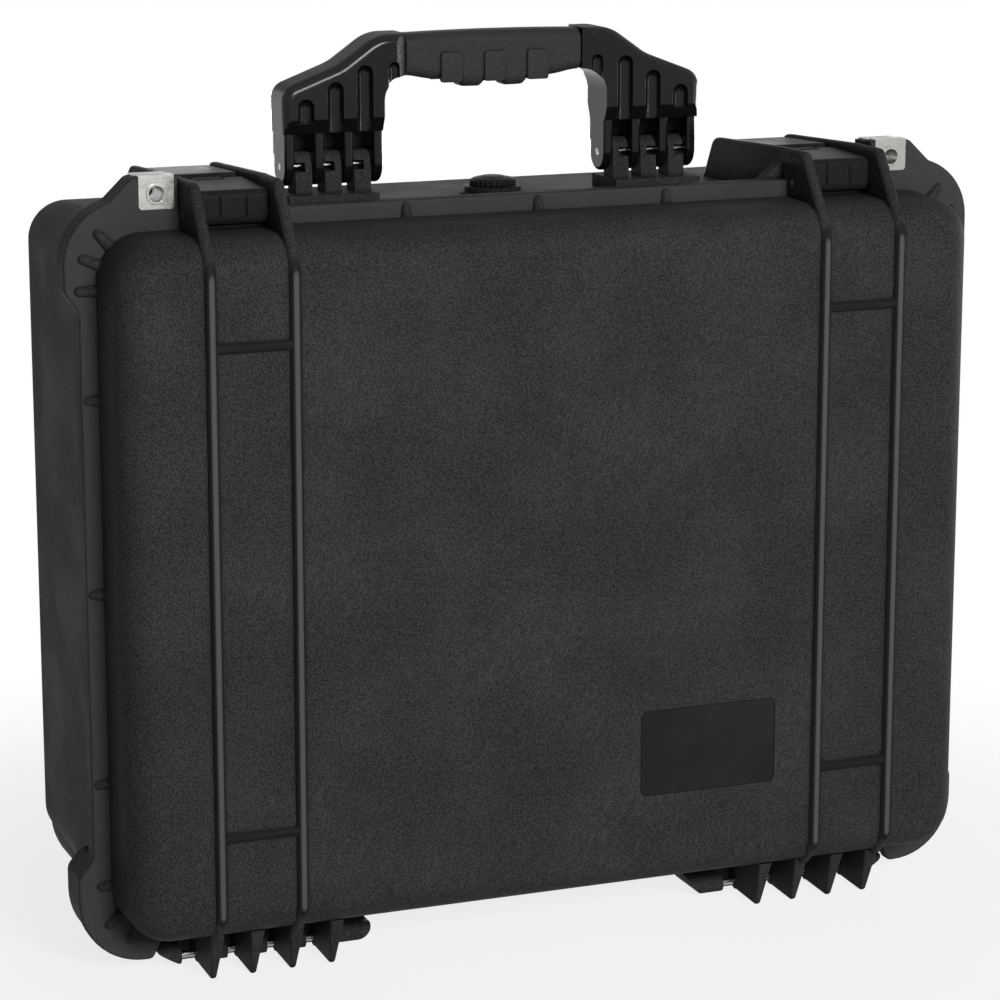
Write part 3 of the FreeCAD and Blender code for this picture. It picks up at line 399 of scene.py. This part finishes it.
def shell_plastic():
    """Black grained plastic of the shells: painted shade on the rib flanks, a painted highlight on the rib
    crests, painted light on the flange face, and a scuffed face.
    """
    rib_shade_tone = 0.55
    rib_smoothness = 0.14
    crest_highlight_tone = 3.4
    crest_highlight_share = 0.75
    crest_depth = 0.00045
    flange_light_tone = 1.9
    flange_light_share = 0.7
    flange_band = 0.0012, 0.0004
    scuff_tone = 3.0
    scuff_sizes = {"Streak Size": 0.0014, "Patch Size": 0.085}
    rib_flank = LID_FACE_Y - 0.0004, LID_FACE_Y - 0.0016
    face_band = LID_FACE_Y + 0.004, LID_FACE_Y + 0.001
    looks = bpy.context.scene.case_finishes
    base = looks.shell_colour
    made, tree, shader, place, shade_and_wear, rough = moulded_plastic(
        "shell_plastic", base, roughness=looks.shell_roughness, grain_size=looks.grain_size, depth=0.00022,
        specular=0.014, wear=looks.edge_wear, rounding=0.0007)
    y = add(tree, "ShaderNodeSeparateXYZ", {"Vector": place}).outputs["Y"]
    on_rib = ramp(tree, y, *rib_flank)
    # Painted highlight: a lighter band along each rib's crest.
    crest_highlight = ramp(tree, y, RIB_CREST_Y + crest_depth, RIB_CREST_Y, 0.0, crest_highlight_share)
    scuff = group_output(tree, "Scuffs", {"Vector": place, **scuff_sizes})["Scuff"]
    on_face = ramp(tree, y, *face_band)
    rubbed = math_node(tree, "MULTIPLY", math_node(tree, "MULTIPLY", scuff, on_face), looks.scuff_share)
    scuffs_and_shade = mix_colour(tree, rubbed, shade_and_wear, tone(base, scuff_tone))
    from_flange = math_node(tree, "ABSOLUTE", math_node(tree, "SUBTRACT", y, FLANGE_FACE_Y))
    # Painted light: the flange's front face is made paler.
    flange_light = ramp(tree, from_flange, *flange_band, 0.0, flange_light_share)
    flange_lit = mix_colour(tree, flange_light, scuffs_and_shade, tone(base, flange_light_tone))
    # Painted shade: the ribs' flanks are darkened.
    rib_shaded = mix_colour(tree, on_rib, flange_lit, tone(base, rib_shade_tone))
    crest_highlighted = mix_colour(tree, crest_highlight, rib_shaded, tone(base, crest_highlight_tone))
    tree.links.new(crest_highlighted, shader.inputs["Base Color"])
    smoother = math_node(tree, "MULTIPLY", on_rib, rib_smoothness)
    tree.links.new(math_node(tree, "SUBTRACT", rough, smoother), shader.inputs["Roughness"])
    return made


def latch_plastic():
    """Satin black plastic of the latches."""
    looks = bpy.context.scene.case_finishes
    return moulded_plastic("latch_plastic", looks.latch_colour, roughness=0.4, grain_size=looks.grain_size,
                           depth=0.00012, specular=0.02, wear=looks.edge_wear, rounding=0.0005,
                           speckle=0.6)[0]


def handle_plastic():
    """Black handle plastic: polished on its faces, grained and matte on its upper sides."""
    upper_band = 0.35, 0.7
    polish = 0.44
    looks = bpy.context.scene.case_finishes
    made, tree, shader, _, _, rough = moulded_plastic(
        "handle_plastic", looks.handle_colour, roughness=0.6, grain_size=looks.grain_size, depth=0.00002,
        specular=0.2, wear=looks.edge_wear, rounding=0.0006, speckle=0.3)
    facing = add(tree, "ShaderNodeTexCoord").outputs["Normal"]
    up = add(tree, "ShaderNodeSeparateXYZ", {"Vector": facing}).outputs["Z"]
    upper = ramp(tree, up, *upper_band)
    smoother = math_node(tree, "MULTIPLY", math_node(tree, "SUBTRACT", 1.0, upper), polish)
    tree.links.new(math_node(tree, "SUBTRACT", rough, smoother), shader.inputs["Roughness"])
    return made


def grip_rubber():
    """Matte black rubber of the soft grip."""
    looks = bpy.context.scene.case_finishes
    return moulded_plastic("grip_rubber", looks.grip_colour, roughness=0.5, grain_size=0.0007, depth=0.0001,
                           specular=0.05, wear=0.2, rounding=0.0, speckle=0.5)[0]


def seal_rubber():
    """Dark grey rubber of the lid's and the valve's seals."""
    looks = bpy.context.scene.case_finishes
    return moulded_plastic("seal_rubber", looks.seal_colour, roughness=0.7, grain_size=0.0006, depth=0.00008,
                           specular=0.3, wear=0.1, rounding=0.0)[0]


def valve_plastic():
    """Satin black plastic of the pressure valve."""
    looks = bpy.context.scene.case_finishes
    return moulded_plastic("valve_plastic", looks.latch_colour, roughness=0.42, grain_size=0.0008,
                           depth=0.0001, specular=0.03, wear=0.25, rounding=0.0003)[0]


def label_film():
    """Smooth black film of the bare label, with a faint cloudy tone."""
    tone_shares = 0.85, 1.2
    rough_range = 0.36, 0.44
    grain_sizes = {"Grain Size": 0.0006, "Mottle Size": 0.03}
    base = bpy.context.scene.case_finishes.label_colour
    made, tree, shader = new_material("label_film", Specular_IOR_Level=0.1)
    grain = group_output(tree, "Moulded grain", {"Vector": object_place(tree), **grain_sizes})
    cloudy = mix_colour(tree, grain["Tone"], *(tone(base, level) for level in tone_shares))
    tree.links.new(cloudy, shader.inputs["Base Color"])
    tree.links.new(ramp(tree, grain["Tone"], 0.0, 1.0, *rough_range), shader.inputs["Roughness"])
    set_normal(tree, shader, grain["Height"], depth=0.00003)
    return made


def steel(name, rough_range, line_size):
    """Bright steel with brushed lines and cloudy patches."""
    line_shares = 0.8, 1.15
    cloud_share = 0.72
    cloud_sizes = {"Grain Size": 0.0015, "Mottle Size": 0.006}
    base = bpy.context.scene.case_finishes.steel_colour
    made, tree, shader = new_material(name, Metallic=1.0)
    place = object_place(tree)
    lines = group_output(tree, "Brushed lines", {"Vector": place, "Line Size": line_size})
    cloud = group_output(tree, "Moulded grain", {"Vector": place, **cloud_sizes})["Tone"]
    brushed = mix_colour(tree, lines["Tone"], *(tone(base, level) for level in line_shares))
    clouded = mix_colour(tree, cloud, brushed, tone(base, cloud_share))
    tree.links.new(clouded, shader.inputs["Base Color"])
    tree.links.new(ramp(tree, cloud, 0.0, 1.0, *rough_range), shader.inputs["Roughness"])
    set_normal(tree, shader, lines["Height"], depth=0.00004, rounding=0.0003)
    return made


def plate_steel():
    """Brushed steel of the padlock plates."""
    return steel("plate_steel", rough_range=(0.26, 0.42), line_size=0.00035)


def pin_steel():
    """Drawn steel of the pins."""
    return steel("pin_steel", rough_range=(0.2, 0.3), line_size=0.00025)


def give_material(nodes, material):
    """Gives each of these solids this material."""
    for name in nodes:
        for slot in NODES[name].material_slots:
            slot.material = material


# Mesh helpers

def new_piece(name, mesh, material, body, replaced=()):
    """Object for a finished mesh, riding on its body."""
    mesh.materials.clear()
    mesh.materials.append(material)
    piece = bpy.data.objects.new(name, mesh)
    bpy.context.scene.collection.objects.link(piece)
    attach(piece, body)
    if replaced:
        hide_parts(*replaced)


def smooth_mesh(name, shape, crease_deg):
    """Mesh of a finished shape, shaded smooth but for creases sharper than the given angle."""
    merge_distance = 1e-6
    bmesh.ops.remove_doubles(shape, verts=shape.verts, dist=merge_distance)
    bmesh.ops.recalc_face_normals(shape, faces=shape.faces)
    mesh = bpy.data.meshes.new(name)
    shape.to_mesh(mesh)
    shape.free()
    mesh.shade_smooth()
    mesh.set_sharp_from_angle(angle=math.radians(crease_deg))
    return mesh


def loft(rings):
    """Closed shape through rings of points, its ends filled."""
    shape = bmesh.new()
    rows = [[shape.verts.new(point) for point in ring] for ring in rings]
    for first, second in zip(rows, rows[1:]):
        for index in range(len(first)):
            shape.faces.new((first[index - 1], first[index], second[index], second[index - 1]))
    shape.faces.new(rows[0])
    shape.faces.new(reversed(rows[-1]))
    return shape


def rounded_section(half_y, low, high, corner):
    """Points (y, z) round a rectangle with rounded corners."""
    corner_steps = 10
    side_steps = 6
    middle = (low + high) / 2
    half_z = (high - low) / 2
    points = []
    corners = ((1, 1), (-1, 1), (-1, -1), (1, -1))
    for index, (sign_y, sign_z) in enumerate(corners):
        for step in range(corner_steps + 1):
            turn = math.pi / 2 * (index + step / corner_steps)
            points.append((sign_y * (half_y - corner) + corner * math.cos(turn),
                           middle + sign_z * (half_z - corner) + corner * math.sin(turn)))
        next_y, next_z = corners[(index + 1) % len(corners)]
        turn = math.pi / 2 * (index + 1)
        end = Vector((next_y * (half_y - corner) + corner * math.cos(turn),
                      middle + next_z * (half_z - corner) + corner * math.sin(turn)))
        start = Vector(points[-1])
        points += [tuple(start.lerp(end, step / side_steps)) for step in range(1, side_steps)]
    return points


def smoothstep(value):
    """Smooth climb from 0 to 1."""
    held = min(1.0, max(0.0, value))
    return held * held * (3 - 2 * held)


# Soft grip

def ridge_depth(x, sizes):
    """How far the finger ridges reach down at x."""
    flank_share = 0.3
    first = -sizes.ridge_pitch * (sizes.ridge_count - 1) / 2
    flank = sizes.ridge_width * flank_share
    depth = 0.0
    for index in range(sizes.ridge_count):
        away = abs(x - first - index * sizes.ridge_pitch)
        depth = max(depth, smoothstep((sizes.ridge_width / 2 + flank / 2 - away) / flank))
    swell_x = sizes.ridge_pitch * (sizes.ridge_count + 1) / 2
    swell = smoothstep(1 - abs(abs(x) - swell_x) / sizes.ridge_width)
    return depth * sizes.ridge_height + swell * sizes.swell_height


def end_rise(x, half_x, sizes):
    """How much higher the grip's underside is at x than in its middle."""
    start = sizes.ridge_pitch * sizes.ridge_count / 4
    return sizes.grip_end_rise * smoothstep((abs(x) - start) / (half_x - start))


def grip_mesh(sizes):
    """Soft grip: crowned tube with finger ridges below and rounded ends; gives its mesh and its faces."""
    station_step = 0.0009
    half_x = GRIP_HIGH.x
    middle_y = (GRIP_LOW.y + GRIP_HIGH.y) / 2
    half_y = (GRIP_HIGH.y - GRIP_LOW.y) / 2
    plain_low = GRIP_LOW.z + sizes.ridge_height
    stations = 2 * round(half_x / station_step)
    rings = []
    for index in range(stations + 1):
        x = -half_x + 2 * half_x * index / stations
        into_end = min(1.0, (half_x - abs(x)) / sizes.grip_end)
        draw_in = sizes.grip_end * (1 - math.sqrt(1 - (1 - into_end) ** 2))
        low = plain_low + end_rise(x, half_x, sizes) - ridge_depth(x, sizes) + draw_in
        high = GRIP_HIGH.z - sizes.grip_crown * (x / half_x) ** 2 - draw_in
        section = rounded_section(half_y - draw_in, low, high, sizes.grip_corner - draw_in)
        rings.append([(x, middle_y + y, z) for y, z in section])
    return smooth_mesh("soft_grip", loft(rings), crease_deg=40.0), middle_y, half_y, plain_low


def pad_mesh(sizes):
    """One pad of the grip, flat on its outer side, with eased corners; it looks along -Y."""
    corner = sizes.pad_width / 8
    rim = sizes.pad_proud * 0.8
    sunk = sizes.pad_proud * 2
    shape = bmesh.new()
    bmesh.ops.create_cube(shape, size=1.0)
    bmesh.ops.scale(shape, verts=shape.verts, vec=(sizes.pad_width, sunk * 2, sizes.pad_height))
    upright = [e for e in shape.edges if abs((e.verts[0].co - e.verts[1].co).y) > sunk]
    bmesh.ops.bevel(shape, geom=upright, offset=corner, segments=4, affect="EDGES", profile=0.5)
    front = [e for e in shape.edges if all(v.co.y < 0 for v in e.verts)]
    bmesh.ops.bevel(shape, geom=front, offset=rim, segments=3, affect="EDGES", profile=0.5)
    return smooth_mesh("pad_shape", shape, crease_deg=60.0)


def new_geometry_tree(name, inputs):
    """Geometry node tree with a geometry output and named inputs (name: socket type); gives both ends."""
    tree = bpy.data.node_groups.new(name, "GeometryNodeTree")
    tree.interface.new_socket("Geometry", in_out="OUTPUT", socket_type="NodeSocketGeometry")
    for label, kind in inputs.items():
        tree.interface.new_socket(label, in_out="INPUT", socket_type=kind)
    return tree, add(tree, "NodeGroupInput").outputs, add(tree, "NodeGroupOutput").inputs


def finish_tree(tree, joined, material, out):
    """Ends a geometry tree: makes the joined instances real and gives them their material."""
    real = add(tree, "GeometryNodeRealizeInstances", {"Geometry": joined.outputs["Geometry"]})
    dressed = add(tree, "GeometryNodeSetMaterial", {"Geometry": real.outputs["Geometry"],
                                                    "Material": material})
    tree.links.new(dressed.outputs["Geometry"], out["Geometry"])


def grown_mesh(name, tree, values, start=None):
    """Plain mesh that a geometry tree makes with these input values, named by their socket."""
    holder = bpy.data.objects.new(name, start or bpy.data.meshes.new(name))
    bpy.context.scene.collection.objects.link(holder)
    modifier = holder.modifiers.new("Grow", "NODES")
    modifier.node_group = tree
    for item in tree.interface.items_tree:
        if item.item_type == "SOCKET" and item.in_out == "INPUT" and item.name in values:
            modifier[item.identifier] = values[item.name]
    depsgraph = bpy.context.evaluated_depsgraph_get()
    mesh = bpy.data.meshes.new_from_object(holder.evaluated_get(depsgraph))
    mesh.name = name
    bpy.data.objects.remove(holder)
    return mesh


def pad_rows_tree():
    """Tree that sets a row of pads on the grip's front and the same row, turned round, on its back."""
    tree, given, out = new_geometry_tree("Grip pads", {
        "Pad": "NodeSocketObject", "Count": "NodeSocketInt", "Pitch": "NodeSocketFloat",
        "Middle": "NodeSocketVector", "Face": "NodeSocketFloat", "Material": "NodeSocketMaterial"})
    pad = add(tree, "GeometryNodeObjectInfo", {"Object": given["Pad"]}).outputs["Geometry"]
    gaps = math_node(tree, "SUBTRACT", given["Count"], 1.0)
    reach = math_node(tree, "MULTIPLY", math_node(tree, "MULTIPLY", gaps, given["Pitch"]), -0.5)
    step = add(tree, "ShaderNodeCombineXYZ", {"X": given["Pitch"]}).outputs["Vector"]
    rows = add(tree, "GeometryNodeJoinGeometry")
    for turn, side in ((0.0, -1.0), (math.pi, 1.0)):
        out_by = math_node(tree, "MULTIPLY", given["Face"], side)
        shift = add(tree, "ShaderNodeCombineXYZ", {"X": reach, "Y": out_by}).outputs["Vector"]
        start = add(tree, "ShaderNodeVectorMath", {0: given["Middle"], 1: shift}, operation="ADD").outputs[0]
        line = add(tree, "GeometryNodeMeshLine", {"Count": given["Count"], "Start Location": start,
                                                  "Offset": step}).outputs["Mesh"]
        row = add(tree, "GeometryNodeInstanceOnPoints", {"Points": line, "Instance": pad,
                                                         "Rotation": (0.0, 0.0, turn)}).outputs["Instances"]
        tree.links.new(row, rows.inputs["Geometry"])
    finish_tree(tree, rows, given["Material"], out)
    return tree


# Valve knob

def knob_mesh(sizes):
    """Turned body of the valve knob: a low dome with an eased rim; gives its mesh, place and size."""
    turns = 96
    centre = (CAP_LOW + CAP_HIGH) / 2
    radius = (CAP_HIGH.x - CAP_LOW.x) / 2 - sizes.knob_rib_radius
    height = CAP_HIGH.z - CAP_LOW.z
    rings = []
    for radius_share, height_share in KNOB_OUTLINE_SHARES:
        out_by = radius * radius_share
        z = CAP_LOW.z + height * height_share
        ring = []
        for index in range(turns):
            turn = 2 * math.pi * index / turns
            ring.append((centre.x + out_by * math.cos(turn), centre.y + out_by * math.sin(turn), z))
        rings.append(ring)
    foot = Vector((centre.x, centre.y, CAP_LOW.z))
    return smooth_mesh("valve_knob", loft(rings), crease_deg=50.0), foot, radius, height


def knob_ribs_tree():
    """Tree that adds a ring of upright round ribs to the turned knob."""
    rib_sides = 12
    tree, given, out = new_geometry_tree("Knob ribs", {
        "Geometry": "NodeSocketGeometry", "Count": "NodeSocketInt", "Radius": "NodeSocketFloat",
        "Rib Radius": "NodeSocketFloat", "Rib Height": "NodeSocketFloat", "Centre": "NodeSocketVector",
        "Material": "NodeSocketMaterial"})
    ring = add(tree, "GeometryNodeMeshCircle", {"Vertices": given["Count"], "Radius": given["Radius"]})
    rib = add(tree, "GeometryNodeMeshCylinder", {"Vertices": rib_sides, "Radius": given["Rib Radius"],
                                                 "Depth": given["Rib Height"]})
    ribs = add(tree, "GeometryNodeInstanceOnPoints", {"Points": ring.outputs["Mesh"],
                                                      "Instance": rib.outputs["Mesh"]})
    placed = add(tree, "GeometryNodeTransform", {"Geometry": ribs.outputs["Instances"],
                                                 "Translation": given["Centre"]})
    joined = add(tree, "GeometryNodeJoinGeometry")
    tree.links.new(placed.outputs["Geometry"], joined.inputs["Geometry"])
    tree.links.new(given["Geometry"], joined.inputs["Geometry"])
    finish_tree(tree, joined, given["Material"], out)
    return tree


# Stage

def add_lamp(name, place, target, width, height, watts):
    """Soft rectangular lamp that shines at a point."""
    light = bpy.data.lights.new(name, "AREA")
    light.shape = "RECTANGLE"
    light.size = width
    light.size_y = height
    light.energy = watts
    lamp = bpy.data.objects.new(name, light)
    lamp.location = place
    lamp.rotation_euler = (Vector(target) - lamp.location).to_track_quat("-Z", "Y").to_euler()
    bpy.context.scene.collection.objects.link(lamp)


def seen_white(tree):
    """Whether a ray comes from the camera, a reflection or through glass."""
    path = add(tree, "ShaderNodeLightPath").outputs
    looked_at = math_node(tree, "MAXIMUM", path["Is Camera Ray"], path["Is Glossy Ray"])
    return math_node(tree, "MAXIMUM", looked_at, path["Is Transmission Ray"])


def build_world(stage):
    """White surroundings, which light the case evenly and at a far lower level than they show."""
    world = bpy.data.worlds.new("studio")
    world.use_nodes = True
    tree = world.node_tree
    tree.nodes.clear()
    sky = add(tree, "ShaderNodeBackground", {"Color": WHITE, "Strength": stage.sky_level})
    shown = add(tree, "ShaderNodeBackground", {"Color": WHITE, "Strength": 1.0})
    chosen = add(tree, "ShaderNodeMixShader", {0: seen_white(tree), 1: sky.outputs[0],
                                               2: shown.outputs[0]})
    out = add(tree, "ShaderNodeOutputWorld")
    tree.links.new(chosen.outputs[0], out.inputs["Surface"])
    bpy.context.scene.world = world


def build_floor(stage):
    """Pale floor that keeps the case's shadow and turns white further out."""
    cloud_size = 0.5
    cloud_shares = 0.99, 1.01
    shape = bmesh.new()
    bmesh.ops.create_grid(shape, x_segments=1, y_segments=1, size=stage.floor_size / 2)
    mesh = bpy.data.meshes.new("floor")
    shape.to_mesh(mesh)
    shape.free()
    made, tree, shader = new_material("pale_floor", Roughness=0.9, Specular_IOR_Level=0.0)
    place = object_place(tree)
    away = add(tree, "ShaderNodeVectorMath", {0: place}, operation="LENGTH").outputs["Value"]
    cloud = noise(tree, place, cloud_size, detail=2.0)
    pale = mix_colour(tree, cloud, *(tone(stage.floor_colour, level) for level in cloud_shares))
    tree.links.new(pale, shader.inputs["Base Color"])
    whiter = ramp(tree, away, stage.fade_start, stage.fade_end, stage.near_white, 1.0)
    far = math_node(tree, "MULTIPLY", whiter, seen_white(tree))
    glow = add(tree, "ShaderNodeEmission", {"Color": WHITE, "Strength": 1.0})
    chosen = add(tree, "ShaderNodeMixShader", {0: far, 1: shader.outputs[0], 2: glow.outputs[0]})
    tree.links.new(chosen.outputs[0], tree.nodes["Material Output"].inputs["Surface"])
    mesh.materials.append(made)
    floor = bpy.data.objects.new("floor", mesh)
    bpy.context.scene.collection.objects.link(floor)


def build_lamps(stage):
    """Front lamp, weak fill on the camera's side, low lamps behind and at the right, and a narrow strip."""
    for name, (place, target, width, height) in LAMPS.items():
        add_lamp(f"{name}_lamp", place, target, width, height, getattr(stage, f"{name}_power"))


def build_camera(stage):
    """Camera at the photograph's viewing angle."""
    data = bpy.data.cameras.new("camera")
    data.sensor_width = 36.0
    data.lens = stage.camera_lens
    data.dof.use_dof = False
    camera = bpy.data.objects.new("camera", data)
    camera.location = stage.camera_place
    camera.rotation_euler = (math.pi / 2 - stage.camera_dip, 0.0, stage.camera_turn)
    bpy.context.scene.collection.objects.link(camera)
    bpy.context.scene.camera = camera


# Operators

class CASE_OT_finish_shells(bpy.types.Operator):
    """Give the lid and base their grained black plastic"""
    bl_idname = "case.finish_shells"
    bl_label = "Finish Shells"

    def execute(self, context):
        give_material(("lid_shell", "base_shell"), shell_plastic())
        return {"FINISHED"}


class CASE_OT_finish_latches(bpy.types.Operator):
    """Give the latch links and levers their satin black plastic"""
    bl_idname = "case.finish_latches"
    bl_label = "Finish Latches"

    def execute(self, context):
        parts = ("link", "lever")
        give_material([f"{side}_latch_{part}" for side in SIDES for part in parts], latch_plastic())
        return {"FINISHED"}


class CASE_OT_finish_handle(bpy.types.Operator):
    """Give the handle frame its polished black plastic"""
    bl_idname = "case.finish_handle"
    bl_label = "Finish Handle"

    def execute(self, context):
        give_material(("handle_frame",), handle_plastic())
        return {"FINISHED"}


class CASE_OT_make_grip(bpy.types.Operator):
    """Make the soft grip with its finger ridges and pads"""
    bl_idname = "case.make_grip"
    bl_label = "Make Grip"

    def execute(self, context):
        sizes = context.scene.case_sizes
        rubber = grip_rubber()
        mesh, middle_y, half_y, low = grip_mesh(sizes)
        new_piece("soft_grip", mesh, rubber, "handle", ("handle_grip",))
        pad = bpy.data.objects.new("pad_shape", pad_mesh(sizes))
        context.scene.collection.objects.link(pad)
        pads = grown_mesh("grip_pads", pad_rows_tree(), {
            "Pad": pad, "Count": sizes.pad_count, "Pitch": sizes.ridge_pitch,
            "Middle": (0.0, middle_y, low + sizes.pad_rise), "Face": half_y, "Material": rubber})
        bpy.data.objects.remove(pad)
        new_piece("grip_pads", pads, rubber, "handle")
        return {"FINISHED"}


class CASE_OT_finish_steel(bpy.types.Operator):
    """Give the padlock plates and all pins their bright steel"""
    bl_idname = "case.finish_steel"
    bl_label = "Finish Steel"

    def execute(self, context):
        shells = ("lid", "base")
        give_material([f"{side}_{shell}_padlock_plate" for side in SIDES for shell in shells], plate_steel())
        pins = ("hinge", "handle", "latch_link", "latch_lever")
        give_material([f"{side}_{pin}_pin" for side in SIDES for pin in pins], pin_steel())
        return {"FINISHED"}


class CASE_OT_make_valve(bpy.types.Operator):
    """Make the ribbed knob of the pressure valve and finish the valve's other pieces"""
    bl_idname = "case.make_valve"
    bl_label = "Make Valve"

    def execute(self, context):
        sizes = context.scene.case_sizes
        plastic = valve_plastic()
        give_material(("valve_body", "valve_nut"), plastic)
        turned_body, foot, radius, height = knob_mesh(sizes)
        rib_height = height * KNOB_RIB_SHARE
        knob = grown_mesh("ribbed_knob", knob_ribs_tree(), {
            "Count": sizes.knob_rib_count, "Radius": radius, "Rib Radius": sizes.knob_rib_radius,
            "Rib Height": rib_height, "Centre": foot + Vector((0.0, 0.0, rib_height / 2)),
            "Material": plastic}, turned_body)
        new_piece("valve_knob", knob, plastic, "base", ("valve_cap",))
        return {"FINISHED"}


class CASE_OT_finish_seals(bpy.types.Operator):
    """Give the lid's seal and the valve's seal their rubber"""
    bl_idname = "case.finish_seals"
    bl_label = "Finish Seals"

    def execute(self, context):
        give_material(("lid_seal", "valve_seal"), seal_rubber())
        return {"FINISHED"}


class CASE_OT_finish_label(bpy.types.Operator):
    """Give the bare label its smooth black film"""
    bl_idname = "case.finish_label"
    bl_label = "Finish Label"

    def execute(self, context):
        give_material(("label_plate",), label_film())
        return {"FINISHED"}


class CASE_OT_set_stage(bpy.types.Operator):
    """Set up the pale floor, the soft lamps, the white surroundings and the camera"""
    bl_idname = "case.set_stage"
    bl_label = "Set Stage"

    def execute(self, context):
        stage = context.scene.case_stage
        context.scene.view_settings.view_transform = "Standard"
        build_world(stage)
        build_floor(stage)
        build_lamps(stage)
        build_camera(stage)
        return {"FINISHED"}


OPERATORS = (CASE_OT_finish_shells, CASE_OT_finish_latches, CASE_OT_finish_handle, CASE_OT_make_grip,
             CASE_OT_finish_steel, CASE_OT_make_valve, CASE_OT_finish_seals, CASE_OT_finish_label,
             CASE_OT_set_stage)
SETTINGS = {"case_finishes": CaseFinishes, "case_sizes": CaseSizes, "case_stage": CaseStage}


class CASE_PT_panel(bpy.types.Panel):
    """Lists the case's settings and steps"""
    bl_idname = "CASE_PT_panel"
    bl_label = "Protective Case"
    bl_space_type = "VIEW_3D"
    bl_region_type = "UI"
    bl_category = "Case"

    def draw(self, context):
        for name, kind in SETTINGS.items():
            box = self.layout.box()
            for label in kind.__annotations__:
                box.prop(getattr(context.scene, name), label)
        for operator in OPERATORS:
            self.layout.operator(operator.bl_idname)


CLASSES = (*SETTINGS.values(), *OPERATORS, CASE_PT_panel)


def register():
    """Registers the settings, the operators and the panel."""
    for made in CLASSES:
        bpy.utils.register_class(made)
    for name, kind in SETTINGS.items():
        setattr(bpy.types.Scene, name, PointerProperty(type=kind))


def unregister():
    """Takes the settings, the operators and the panel away again."""
    for name in SETTINGS:
        delattr(bpy.types.Scene, name)
    for made in reversed(CLASSES):
        bpy.utils.unregister_class(made)


def main():
    """Runs every step in order."""
    register()
    build_effects()
    for operator in OPERATORS:
        group, step = operator.bl_idname.split(".")
        getattr(getattr(bpy.ops, group), step)()


if __name__ == "__main__":
    main()
